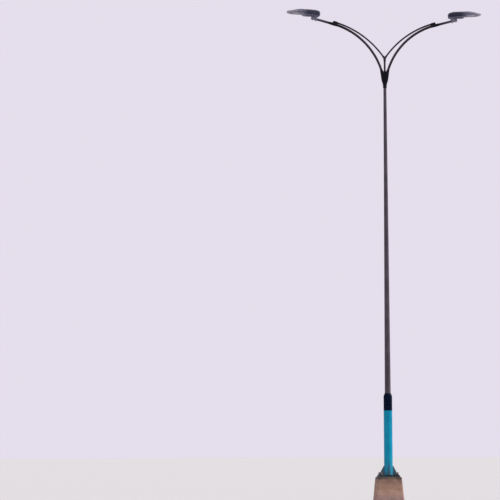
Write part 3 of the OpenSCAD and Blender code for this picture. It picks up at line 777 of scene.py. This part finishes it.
def rounded_outline(length, width, corner, steps=6):
    """Points and outward directions round a rectangle with rounded corners."""
    track = []
    for k, (sx, sy) in enumerate(CORNERS):
        centre = Vector((sx * (length / 2 - corner), sy * (width / 2 - corner), 0))
        for i in range(steps + 1):
            out = round_point(1, pi / 2 * (k + i / steps))
            track.append((centre + out * corner, out))
    return track


def add_band(form, where, track, section):
    """Sweeps a section of (outward, upward) points round an outline."""
    rings = [[where @ (point + out * x + UP * z) for x, z in section] for point, out in track]
    ring_strip(form, rings, closed=True)


def add_plate(form, where, length, width, corner, height):
    """A small plate with rounded corners and broken edges."""
    edge = min(0.0006, height * 0.3)
    track = rounded_outline(length, width, corner, 4)
    ring_strip(form, [[where @ (point - out * inset + UP * z) for point, out in track]
                      for inset, z in ((edge, 0), (0, edge), (0, height - edge), (edge, height))])


def add_seal(form, where, radius, outline, around):
    """A ring of rubber round a bar, from an outline of (distance from the bar, height)."""
    lathe(form, where, [(radius + x, z) for x, z in outline], around)


def add_collar_seal(form, where, radius, width, height):
    outline = [(SEAL_GAP, -0.001), (width, -0.001), (width * 0.88, height * 0.4), (SEAL_GAP, height)]
    add_seal(form, where, radius, outline, 48)


def circle_points(radius, height):
    return [round_point(radius, t, height) for t in angles(72)]


def facing(origin, direction, up=UP):
    """A frame at a point, with local Z along a direction."""
    z = Vector(direction).normalized()
    side = up.cross(z)
    x = side.normalized() if side.length > 1e-6 else Vector((1, 0, 0))
    return Matrix.Translation(origin) @ Matrix((x, z.cross(x), z)).transposed().to_4x4()


def on_surface(node, centre, out):
    """A frame on a node's surface, found from outside on the way in to a point. Local Z points out."""
    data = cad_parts[node].data
    skin = BVHTree.FromPolygons([v.co for v in data.vertices], [p.vertices for p in data.polygons])
    return facing(skin.ray_cast(centre + out * 0.3, -out)[0] - out * SINK, out)


# Skins of the frame's own nodes

def soften(node, width):
    """Broken edges on a node, as modifiers: its mesh stays as it is."""
    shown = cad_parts[node]
    shown.modifiers.new("joined", "WELD").merge_threshold = 0.00002
    edges = shown.modifiers.new("broken_edges", "BEVEL")
    edges.width = width
    edges.segments = 2
    edges.limit_method = "ANGLE"
    edges.angle_limit = radians(38)
    shown.modifiers.new("even_shading", "WEIGHTED_NORMAL").keep_sharp = True


def fullness(points):
    """How much a smooth curve through the stations of a form stands out from their straight chords.
    points are places along the form with the size at each, in any order and any number of times."""
    stations = []
    for place, size in sorted(points):
        if not stations or place - stations[-1][0] > 0.0002:
            stations.append((place, size))

    def slope(i):
        (u0, first), (u1, last) = stations[max(0, i - 1)], stations[min(len(stations) - 1, i + 1)]
        return (last - first) / (u1 - u0)

    def read(u):
        i = sum(station[0] < u for station in stations) - 1
        if not 0 <= i < len(stations) - 1:
            return 1
        (u0, first), (u1, last) = stations[i], stations[i + 1]
        t = (u - u0) / (u1 - u0)
        rise = last - first
        chord = first + rise * t
        turn = (1 - t) * slope(i) - t * slope(i + 1)
        return 1 + t * (1 - t) * (turn * (u1 - u0) + rise * (2 * t - 1)) / chord

    return read


def fair_lamp(skin, lamp):
    """Carries the housing's facets out to the curves that its outline and its back follow along the lamp."""
    to_lamp = lamp.inverted()
    places = [to_lamp @ vert.co for vert in skin.verts]
    widths = [(p.x, abs(p.y)) for p in places if abs(p.z) < 0.0001]
    backs = []
    for p in places:
        station, width = min(widths, key=lambda found: abs(found[0] - p.x))
        if p.z > 0 and abs(station - p.x) < 0.0001 and abs(abs(p.y) / width - SHOULDER_SHARE) < 0.01:
            backs.append((p.x, p.z))
    outline, back = fullness(widths), fullness(backs)
    long_edges = [edge for edge in skin.edges if edge.calc_length() > 0.01]
    bmesh.ops.subdivide_edges(skin, edges=long_edges, cuts=3, use_grid_fill=True)
    for vert in skin.verts:
        place = to_lamp @ vert.co
        place.y *= outline(place.x)
        if place.z > 0:
            place.z *= back(place.x)
        vert.co = lamp @ place
        vert.co.z = min(cad_high.z, vert.co.z)


def smooth_skin(name, node, finish, lamp=None):
    """A node's own form with its facets shaded as one curve, standing in for the node."""
    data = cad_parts[node].data
    skin = bmesh.new()
    made = [skin.verts.new(v.co) for v in data.vertices]
    for face in data.polygons:
        skin.faces.new([made[i] for i in face.vertices])
    bmesh.ops.remove_doubles(skin, verts=skin.verts, dist=0.00002)
    if lamp:
        fair_lamp(skin, lamp)
    piece = add_piece(name, skin, finish, 34)
    piece.modifiers.new("even_shading", "WEIGHTED_NORMAL").keep_sharp = True
    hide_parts(node)


def edge_chips(half_width, top):
    """Balls of air that bite into the pedestal's corners and rim, as where concrete has chipped."""
    dice = random.Random(11)
    chips = []
    for k in range(30):
        size = dice.uniform(0.022, 0.055)
        depth = size * dice.uniform(0.08, 0.16)
        if k < 18:
            z = dice.uniform(0.04, top - 0.02)
            half = half_width(z)
            point = Vector((half, half, 0)) * (1 - CHAMFER / sqrt(2) / half)
            out = Vector((1, 1, dice.uniform(-0.3, 0.3))).normalized()
        else:
            z = top - CHAMFER / 2
            reach = PEDESTAL_TOP - CHAMFER / 2
            point = Vector((reach, reach * dice.uniform(-0.95, 0.95), 0))
            out = Vector((1, dice.uniform(-0.2, 0.2), 1)).normalized()
        chips.append((turned(90 * (k % 4), "Z") @ (point + UP * z + out * (size - depth)), size))
    return chips


def make_pedestal_skin(finish):
    """The pedestal as cast: sides that wave a little, boards a hair apart, and edges that have chipped."""
    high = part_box("concrete_pedestal")[1]
    top = high.z
    across = 52
    cut_steps = 5
    levels = 104

    def half_width(z):
        return high.x + (PEDESTAL_TOP - high.x) * z / top

    chips = edge_chips(half_width, top)

    def outline(half):
        """Points round the pedestal with their outward directions, closer together near the corners."""
        cut = CHAMFER * sqrt(2)
        flat = half - cut
        ring = []
        for turn in range(4):
            spin = turned(90 * turn, "Z")
            for i in range(across):
                share = 2 * i / across - 1
                y = flat * (share + sin(share * pi / 2)) / 2
                ring.append((spin @ Vector((half, y, 0)), spin @ Vector((1, 0, 0))))
            for i in range(cut_steps):
                share = i / cut_steps
                corner = Vector((half - cut * share, flat + cut * share, 0))
                ring.append((spin @ corner, spin @ Vector((1, 1, 0)).normalized()))
        return ring

    def worn(point, inward, waving):
        wave = 0.0011 * (0.5 + 0.5 * noise.noise(point * 4))
        ripple = 0.0005 * (0.5 + 0.5 * noise.noise(point * 16))
        step = 0.0009 * (0.5 + 0.5 * sin(floor(point.z / BOARD_HEIGHT) * 2.4))
        crumb = max(0, noise.fractal(point * 40, 0.7, 2.1, 4) - 0.35) * 0.0035
        pit = max(0, noise.noise(point * 70) - 0.62) * 0.01
        grown = min(1, point.z / 0.02) * waving
        moved = point + inward * (wave + ripple + step + crumb + pit) * grown
        for centre, size in chips:
            away = moved - centre
            rough = size * (1 + 0.05 * noise.noise(point * 60))
            if away.length < rough:
                moved = centre + away.normalized() * rough
        moved.z = min(top, max(0, moved.z))
        return moved

    def level(half, z, waving=1):
        return [worn(point + UP * z, -out, waving) for point, out in outline(half)]

    rim = top - CHAMFER
    rim_half = half_width(rim)
    inner = PEDESTAL_TOP - CHAMFER
    rings = [level(half_width(z), z) for z in (rim * i / levels for i in range(levels + 1))]
    for share in (0.2, 0.4, 0.6, 0.8, 1):
        z = top - CHAMFER * (1 - share)
        rings.append(level(rim_half + (inner - rim_half) * share, z, 1 - share))
    rings += [level(inner - inset, top, 0) for inset in (0.004, 0.008, 0.014, 0.05)]
    skin = bmesh.new()
    ring_strip(skin, rings)
    piece = add_piece("pedestal_skin", skin, finish, 30)
    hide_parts("concrete_pedestal")


# Foot of the column

def make_anchor_bolts(finish):
    """Bolt, washer, nut and locknut at each corner of the plate, each stopped at its own angle."""
    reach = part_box("base_plate")[1].x - BOLT_EDGE
    for i, (sx, sy) in enumerate(CORNERS):
        bolt = bmesh.new()
        seat = shift(sx * reach, sy * reach, PLATE_TOP) @ Matrix.Rotation(0.4 + i * 0.7, 4, "Z")
        nut = seat @ raised(BOLT_WASHER)
        locknut = nut @ raised(NUT_HEIGHT + 0.0002) @ Matrix.Rotation(0.3, 4, "Z")
        add_washer(bolt, seat, 0.028, BOLT_RADIUS + 0.001, BOLT_WASHER)
        add_nut(bolt, nut, NUT_ACROSS, NUT_HEIGHT, BOLT_RADIUS - 0.0004)
        add_nut(bolt, locknut, NUT_ACROSS, LOCKNUT_HEIGHT, BOLT_RADIUS - 0.0004)
        add_thread(bolt, seat @ raised(-0.024), BOLT_RADIUS, BOLT_LENGTH + 0.004 * (i % 3), BOLT_PITCH)
        add_piece("anchor_bolt_%d" % (i + 1), bolt, finish)


def make_foot_welds(finish):
    """Weld runs round the tube's foot, and along the foot and the wall side of each gusset."""
    wall = TUBE_RADIUS + 0.001
    foot = PLATE_TOP + 0.001
    add_trim("tube_foot_weld", finish, "gusset_paint", add_weld, circle_points(wall, foot), 0.006,
             closed=True)
    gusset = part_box("base_gussets")[1]
    run = bmesh.new()
    for turn in range(4):
        spin = turned(90 * turn, "Z")
        for side in (-1, 1):
            y = side * (GUSSET_THICKNESS / 2 + 0.001)
            for ends in (((wall + 0.021, foot), (gusset.x - 0.004, foot)),
                         ((wall, foot + 0.021), (wall, gusset.z - 0.004))):
                add_weld(run, [spin @ Vector((x, y, z)) for x, z in ends], 0.0045)
    add_piece("gusset_welds", run, finish)


def make_earth_bolt(finish):
    """Earthing bolt with its washer and lug on a gusset's side."""
    bolt = bmesh.new()
    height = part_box("base_gussets")[0].z + 0.075
    place = facing((GUSSET_THICKNESS / 2, TUBE_RADIUS + 0.045, height), (1, 0, 0))
    add_plate(bolt, place @ shift(0, -0.01, 0), 0.022, 0.044, 0.008, 0.003)
    add_washer(bolt, place @ raised(0.003), 0.012, 0.0052, 0.002)
    add_hex_screw(bolt, place @ raised(0.005), *EARTH_SCREW)
    add_piece("earth_bolt", bolt, finish)


def make_handhole_fittings(weld, steel, rubber):
    """Weld round the handhole's frame, seal round its cover, and the cover's two locks."""
    low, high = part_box("handhole_frame")
    cover_low, cover_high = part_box("handhole_cover")
    half_w = (high.x - low.x) / 2
    straight = (high.z - low.z) / 2 - half_w

    def outline(margin, out):
        """Points round the frame, bent round the tube."""
        r = half_w + margin
        arc = [(r * cos(t), straight + r * sin(t)) for t in (pi * i / 24 for i in range(25))]
        middle_z = (low.z + high.z) / 2
        return [Vector((x, sqrt(max(0, (TUBE_RADIUS + out) ** 2 - x * x)), middle_z + z))
                for x, z in arc + [(-x, -z) for x, z in arc]]

    add_trim("handhole_weld", weld, "turquoise_paint", add_weld, outline(0.001, 0.0005), 0.0038,
             closed=True, ripple=0.005)
    gap = (cover_high.x - cover_low.x) / 2 - half_w + 0.0004
    add_trim("handhole_seal", rubber, "turquoise_paint", add_weld, outline(gap, 0.0016), 0.0011,
             closed=True, ripple=0.03, sides=5)
    lock = bmesh.new()
    for z in (cover_high.z - 0.045, cover_low.z + 0.045):
        place = facing((0, cover_high.y - 0.0006, z), (0, 1, 0))
        add_washer(lock, place, 0.0125, 0.006, 0.0012)
        add_socket_screw(lock, place @ raised(0.0008), *LOCK_SCREW)
    add_piece("handhole_locks", lock, steel)


def make_collar_fittings(steel, rubber, weld):
    """Two rings of screws through the collar, the seal at its top and the weld at its foot."""
    places = [facing(spoke(turn) * (COLLAR_RADIUS - 0.0006) + UP * height, spoke(turn))
              for height in (TUBE_TOP + 0.085, TUBE_TOP + 0.3) for turn in (20, 140, 260)]
    add_trim("collar_screws", steel, "collar_paint", add_each, add_socket_screw, places, *COLLAR_SCREW)
    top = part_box("reducer_collar")[1].z
    add_trim("collar_seal", rubber, "collar_paint", add_seal, raised(top), shaft_radius(top),
             [(SEAL_GAP, 0), (0.0062, 0), (0.0052, 0.003), (0.0028, 0.0065), (SEAL_GAP, 0.009)], 64)
    add_trim("collar_weld", weld, "turquoise_paint", add_weld,
             circle_points(TUBE_RADIUS - 0.0006, TUBE_TOP - 0.0012), 0.0022, closed=True, ripple=0.007)


def shaft_radius(height):
    low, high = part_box("tapered_shaft")
    return high.x + (SHAFT_TOP_RADIUS - high.x) * (height - low.z) / (high.z - low.z)


def make_shaft_seam(finish):
    """Ground weld seam down the shaft, which was rolled from sheet."""
    ends = (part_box("reducer_collar")[1].z + 0.012, HUB_FOOT - 0.012)
    points = [spoke(112) * (shaft_radius(z) - 0.0012) + UP * z for z in ends]
    add_trim("shaft_seam", finish, "shaft_paint", add_weld, points, 0.0024, ripple=0.045)


# Arms

def arc_frame(side, slope):
    """Point and outward direction on a lower tube, at a slope of its bend."""
    steep = radians(ROOT_SLOPE)
    centre = Vector((ROOT_ASIDE + LOWER_BEND_R * sin(steep), 0, HUB_TOP - LOWER_BEND_R * cos(steep)))
    turn = radians(slope)
    point = centre + LOWER_BEND_R * Vector((-sin(turn), 0, cos(turn)))
    return Vector((side * point.x, 0, point.z)), Vector((side * cos(turn), 0, sin(turn)))


def make_hub_fittings(steel, rubber):
    """Seals where the tubes and the stem enter the hub, and the screws that hold them and the shaft."""
    lip_slope = ROOT_SLOPE - degrees(HUB_LIP / LOWER_BEND_R)
    seals = bmesh.new()
    screws = bmesh.new()
    for side in (-1, 1):
        point, along = arc_frame(side, lip_slope)
        add_collar_seal(seals, facing(point, along, Vector((0, 1, 0))), LOWER_RADIUS, 0.006, 0.006)
        for below in (0.7, 2.2):
            point = arc_frame(side, ROOT_SLOPE + below)[0]
            for turn in (-1, 1):
                add_hex_screw(screws, on_surface("arm_hub", point, Vector((0, turn, 0))), *TUBE_SCREW)
    add_collar_seal(seals, raised(HUB_TOP + HUB_LIP / 2), STEM_RADIUS, 0.005, 0.005)
    places = [on_surface("arm_hub", UP * (HUB_FOOT + height), spoke(turn))
              for height in (0.03, 0.11) for turn in (45, 165, 285)]
    add_each(screws, add_socket_screw, places, *SHAFT_SCREW)
    add_seal(seals, raised(HUB_FOOT), shaft_radius(HUB_FOOT),
             [(SEAL_GAP, 0.001), (0.007, 0.001), (0.006, -0.003), (SEAL_GAP, -0.006)], 48)
    add_piece("hub_seals", seals, rubber)
    add_piece("hub_screws", screws, steel)


def make_knot_fittings(steel, rubber):
    """Set screws on both sides of the fork knot, and its seal on the stem."""
    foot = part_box("fork_knot")[0].z
    places = [on_surface("fork_knot", UP * (foot + 0.014), Vector((0, turn, 0))) for turn in (-1, 1)]
    add_trim("knot_screws", steel, "knot_paint", add_each, add_socket_screw, places, *KNOT_SCREW)
    add_trim("knot_seal", rubber, "knot_paint", add_seal, raised(foot), STEM_RADIUS,
             [(SEAL_GAP, 0.001), (0.005, 0.001), (0.004, -0.002), (SEAL_GAP, -0.004)], 40)


def spigot_frame(name, side):
    """Frame at the outer end of a spigot, with local Z along it, and the spigot's radius."""
    low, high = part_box(name + "_spigot")
    slope = radians(TIP_SLOPE)
    radius = (high.y - low.y) / 2
    length = (high.x - low.x - 2 * radius * sin(slope)) / cos(slope)
    along = Vector((cos(slope), 0, sin(slope)))
    centre = (low + high) / 2
    end = Vector((abs(centre.x), 0, centre.z)) + along * length / 2
    return Matrix.Scale(side, 4, (1, 0, 0)) @ facing(end, along, Vector((0, 1, 0))), radius


def make_sleeve_fittings(name, side, steel, rubber):
    """Set screws on both sides of the sleeve, and the spigot's seals at both its ends."""
    spigot, radius = spigot_frame(name, side)
    tube_end = spigot @ raised(-SPIGOT_LENGTH)
    places = [tube_end @ raised(along) @ turned(turn, "X") @ raised(SLEEVE_RADIUS - SINK)
              for along in (-0.07, -0.03) for turn in (-90, 90)]
    add_trim(name + "_sleeve_screws", steel, "sleeve_paint", add_each, add_socket_screw, places,
             *SLEEVE_SCREW)
    seal = bmesh.new()
    add_collar_seal(seal, tube_end @ raised(SLEEVE_HALF), radius, SLEEVE_RIM, 0.005)
    mouth = spigot @ raised(-KNUCKLE_GRIP) @ turned(180, "X")
    add_collar_seal(seal, mouth, radius, KNUCKLE_WALL - 0.001, 0.006)
    add_piece(name + "_spigot_seals", seal, rubber)


# Lamps

def lamp_rear():
    """Rear end of the right lamp's parting line, worked out from the lens."""
    low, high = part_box("right_lens_glass")
    centre = (low + high) / 2
    local = Vector((LENS_START + LENS_LENGTH / 2, 0, GLASS_THICKNESS / 2 - FRONT_DEPTH))
    return Vector((centre.x, 0, centre.z)) - turned(-LAMP_TILT, "Y") @ local


def lamp_frame(side):
    """The lamp's own frame: X from its rear end to its nose, Z up from its parting line."""
    return Matrix.Scale(side, 4, (1, 0, 0)) @ Matrix.Translation(lamp_rear()) @ turned(-LAMP_TILT, "Y")


def under(lamp, u, v, depth):
    """A place on the lamp's underside, facing down."""
    return lamp @ shift(u, v, -depth) @ turned(180, "X")


def make_lens_fittings(name, lamp, steel, rubber):
    """Screws of the lens frame and the seal between it and the glass."""
    middle_u = LENS_START + LENS_LENGTH / 2
    aside = FRAME_OUT / 2 - 0.0005
    sides = [(k * (LENS_LENGTH / 2 - 0.02), edge * (LENS_WIDTH / 2 + aside)) for k in range(-1, 2)
             for edge in (-1, 1)]
    ends = [(edge * (LENS_LENGTH / 2 + aside), 0) for edge in (-1, 1)]
    places = [under(lamp, middle_u + u, v, FRONT_DEPTH + FRAME_THICKNESS) for u, v in sides + ends]
    add_trim(name + "_lens_screws", steel, "lens_frame_paint", add_each, add_socket_screw, places,
             *LENS_SCREW)
    section = [(-0.003, 0.0001), (-0.0026, -0.0014), (-0.0008, -0.0026), (0.0004, -0.0026), (0.0004, 0.0001)]
    add_trim(name + "_lens_seal", rubber, "lens_frame_paint", add_band,
             lamp @ shift(middle_u, 0, -FRONT_DEPTH),
             rounded_outline(LENS_LENGTH, LENS_WIDTH, LENS_CORNER), [(x - FRAME_LIP, z) for x, z in section])


def make_gear_fittings(name, lamp, steel, rubber, coat):
    """Gasket, hinges and captive screws of the gear cover, and the vent plug beside the knuckle."""
    middle_u = COVER_START + COVER_LENGTH / 2
    end_u = COVER_START + COVER_LENGTH
    add_trim(name + "_gear_gasket", rubber, "gear_cover_paint", add_band,
             lamp @ shift(middle_u, 0, -GEAR_DEPTH), rounded_outline(COVER_LENGTH, COVER_WIDTH, COVER_CORNER),
             [(-0.003, 0.0002), (-0.003, -0.002), (0.001, -0.002), (0.0018, -0.0008), (0.0016, 0.0002)])
    screws = bmesh.new()
    for side in (-1, 1):
        v = side * (COVER_WIDTH / 2 - 0.014)
        place = under(lamp, COVER_START + 0.014, v, GEAR_DEPTH + COVER_THICKNESS)
        add_washer(screws, place, 0.0085, 0.003, 0.0012)
        add_hex_screw(screws, place @ raised(0.001), *COVER_SCREW)
    places = [under(lamp, SEAT_START + u, side * (SEAT_WIDTH / 2 - 0.0075), GEAR_DEPTH + SEAT_THICKNESS)
              for u in (0.03, SEAT_LENGTH - 0.03) for side in (-1, 1)]
    add_each(screws, add_hex_screw, places, *SEAT_SCREW)
    add_piece(name + "_gear_screws", screws, steel)
    hinges = bmesh.new()
    r = 0.0042
    for v in (-0.062, 0.062):
        barrel = lamp @ shift(end_u + r * 0.8, v - 0.016, -GEAR_DEPTH - r) @ turned(-90, "X")
        lathe(hinges, barrel, [(CORE, 0), (r - 0.0006, 0), (r, 0.0006), (r, 0.0314), (r - 0.0006, 0.032),
                               (CORE, 0.032)], 24)
        for end in (0.0105, 0.0205):
            ridge = [(r - 0.0002, 0), (r + 0.0003, 0.0002), (r + 0.0003, 0.0008), (r - 0.0002, 0.001)]
            lathe(hinges, barrel @ raised(end), ridge, 24)
        leaf = under(lamp, end_u - 0.008, v, GEAR_DEPTH + COVER_THICKNESS)
        add_plate(hinges, leaf, 0.022, 0.026, 0.004, 0.0022)
        places = [leaf @ shift(-0.004, aside, 0.002) for aside in (-0.007, 0.007)]
        add_each(hinges, add_socket_screw, places, *HINGE_SCREW)
    vent = under(lamp, SEAT_START + 0.075, SEAT_WIDTH / 2 + 0.026, GEAR_DEPTH)
    lathe(hinges, vent, [(CORE, 0), (0.01, 0), (0.01, 0.003), (0.0085, 0.0045), (0.0085, 0.0085),
                         (0.0075, 0.0095), (CORE, 0.0095)], 30, hexagon(0.0185))
    add_piece(name + "_gear_hinges", hinges, coat)


def make_clamp_screws(name, side, steel):
    """The two bolts under the knuckle that clamp the spigot."""
    clamp = bmesh.new()
    spigot, radius = spigot_frame(name, side)
    reach = radius + KNUCKLE_WALL + BOSS_HEIGHT - 0.0002
    for back in (BOSS_INSET, KNUCKLE_GRIP - BOSS_INSET):
        place = spigot @ raised(-back) @ turned(90, "Y") @ raised(reach)
        add_washer(clamp, place, 0.0115, 0.004, 0.0016)
        add_hex_screw(clamp, place @ raised(0.0014), *CLAMP_SCREW)
    add_piece(name + "_clamp_screws", clamp, steel)


# Stage

def add_sun(name, strength, turn, height, spread):
    """A sun at a bearing and a height in degrees. Its spread softens the shadows."""
    light = bpy.data.lights.new(name, "SUN")
    light.energy = strength
    light.angle = radians(spread)
    sun = add_object(name, light)
    a, e = radians(turn), radians(height)
    toward = Vector((sin(a) * cos(e), -cos(a) * cos(e), sin(e)))
    sun.rotation_euler = toward.to_track_quat("Z", "Y").to_euler()


def make_stage():
    form = bmesh.new()
    bmesh.ops.create_grid(form, x_segments=1, y_segments=1, size=FLOOR_HALF)
    ground = add_object("floor", mesh_of("floor", form))
    ground.location = (0, 0, -FLOOR_DROP)
    ground.data.materials.append(Finish("pale_floor").close(srgb((216, 212, 212)), 0.9))

    world = bpy.data.worlds.new("studio")
    bpy.context.scene.world = world
    world.use_nodes = True
    sky = Tree(world.node_tree)
    rays = ("Is Camera Ray", "Is Glossy Ray", "Is Transmission Ray")
    seen = sum(sky.node("LightPath", {}, {}, ray) for ray in rays)
    colour = sky.mix((0.53, 0.53, 0.55, 1), (229, 222, 236), seen.math("MINIMUM", 1))
    sky.node("OutputWorld", {}, {0: sky.node("Background", {}, {0: colour})}, None)
    add_sun("key", strength=3.1, turn=86, height=31, spread=20)
    add_sun("fill", strength=0.32, turn=-50, height=25, spread=40)


def main():
    place_camera()
    make_stage()
    bolts = zinc()
    steel = screw_steel("stainless", (138, 138, 146), 0.9)
    dark_steel = screw_steel("blackened_steel", (34, 34, 42), 0.2)
    rubber = rubber_seal()
    foot_weld = weld_metal("foot_weld", (44, 78, 94))
    turquoise = weathered_paint("turquoise_paint", (2, 131, 168), (26, 150, 180), gloss=0.34, shine=0.08,
                                streaks=0.28, rust=0.42, foot=PLATE_TOP, splash=0.4)
    gussets = weathered_paint("gusset_paint", (54, 96, 116), (84, 120, 134), streaks=0.3, dust=0.4,
                              rust=0.5, foot=PLATE_TOP, splash=0.4)
    plate = weathered_paint("plate_paint", (10, 40, 50), (26, 60, 68), gloss=0.5, shine=0.12,
                            streaks=0.3, dust=0.2, rust=0.4)
    collar = weathered_paint("collar_paint", (2, 11, 36), (8, 20, 46), gloss=0.34, shine=0.03,
                             streaks=0.2, dust=0.12)
    shaft = weathered_paint("shaft_paint", (64, 56, 66), (88, 80, 90), dust=0.2)
    tubes = {"gloss": 0.4, "shine": 0.16, "streaks": 0.25, "tip": TUBES_BLACK}
    lower = weathered_paint("tube_paint", (35, 32, 43), (56, 52, 64), **tubes)
    upper = weathered_paint("upper_tube_paint", (43, 39, 51), (66, 62, 74), **tubes)
    knuckle = cast_coating("knuckle_coating", (116, 114, 136), (134, 131, 148), parting="Y")
    hub = cast_coating("hub_coating", (5, 5, 12), (20, 20, 30), dust=0.25, shine=0.08, parting="Y")
    cover = cast_coating("gear_cover_coating", (92, 90, 112), (112, 108, 128))
    rim = cast_coating("lens_frame_coating", (96, 92, 114), (116, 112, 130))
    sleeve = cast_coating("sleeve_coating", (7, 7, 15), (22, 22, 32), dust=0.2, shine=0.08)
    knot = cast_coating("knot_coating", (30, 29, 38), (50, 48, 60), dust=0.35)
    # Each node's finish, and the width of its broken edges if it has them
    dress = {
        "grout_bed": (mortar(), 0.004),
        "base_plate": (plate, 0),
        "base_gussets": (gussets, 0.0015),
        "base_tube": (turquoise, 0),
        "handhole_frame": (turquoise, 0.001),
        "handhole_cover": (turquoise, 0.0008),
        "reducer_collar": (collar, 0.0015),
        "tapered_shaft": (shaft, 0),
        "centre_stem": (lower, 0),
        "fork_knot": (knot, 0),
    }
    for part, finish, edge in (
            ("lower_tube", lower, 0), ("upper_tube", upper, 0), ("tip_sleeve", sleeve, 0),
            ("spigot", spigot_paint(), 0), ("gear_cover", cover, 0.001), ("light_panel", light_board(), 0),
            ("lens_glass", clear_glass(), 0), ("lens_frame", rim, 0.0008)):
        dress["left_" + part] = dress["right_" + part] = (finish, edge)
    for node, (finish, edge) in dress.items():
        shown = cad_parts[node].data
        shown.materials.clear()
        shown.materials.append(finish)
        if edge:
            soften(node, edge)

    make_pedestal_skin(cast_concrete())
    make_anchor_bolts(bolts)
    make_foot_welds(foot_weld)
    make_earth_bolt(bolts)
    make_handhole_fittings(turquoise, steel, rubber)
    make_collar_fittings(dark_steel, rubber, turquoise)
    make_shaft_seam(shaft)
    smooth_skin("hub_skin", "arm_hub", hub)
    make_hub_fittings(dark_steel, rubber)
    make_knot_fittings(dark_steel, rubber)
    lamp_coat = lamp_coating()
    for side, name in ((-1, "left"), (1, "right")):
        lamp = lamp_frame(side)
        smooth_skin(name + "_lamp_skin", name + "_lamp_housing", lamp_coat, lamp)
        smooth_skin(name + "_knuckle_skin", name + "_knuckle", knuckle)
        make_sleeve_fittings(name, side, dark_steel, rubber)
        make_clamp_screws(name, side, steel)
        make_gear_fittings(name, lamp, steel, rubber, knuckle)
        make_lens_fittings(name, lamp, steel, rubber)
    bpy.context.scene.view_settings.view_transform = "Standard"


main()
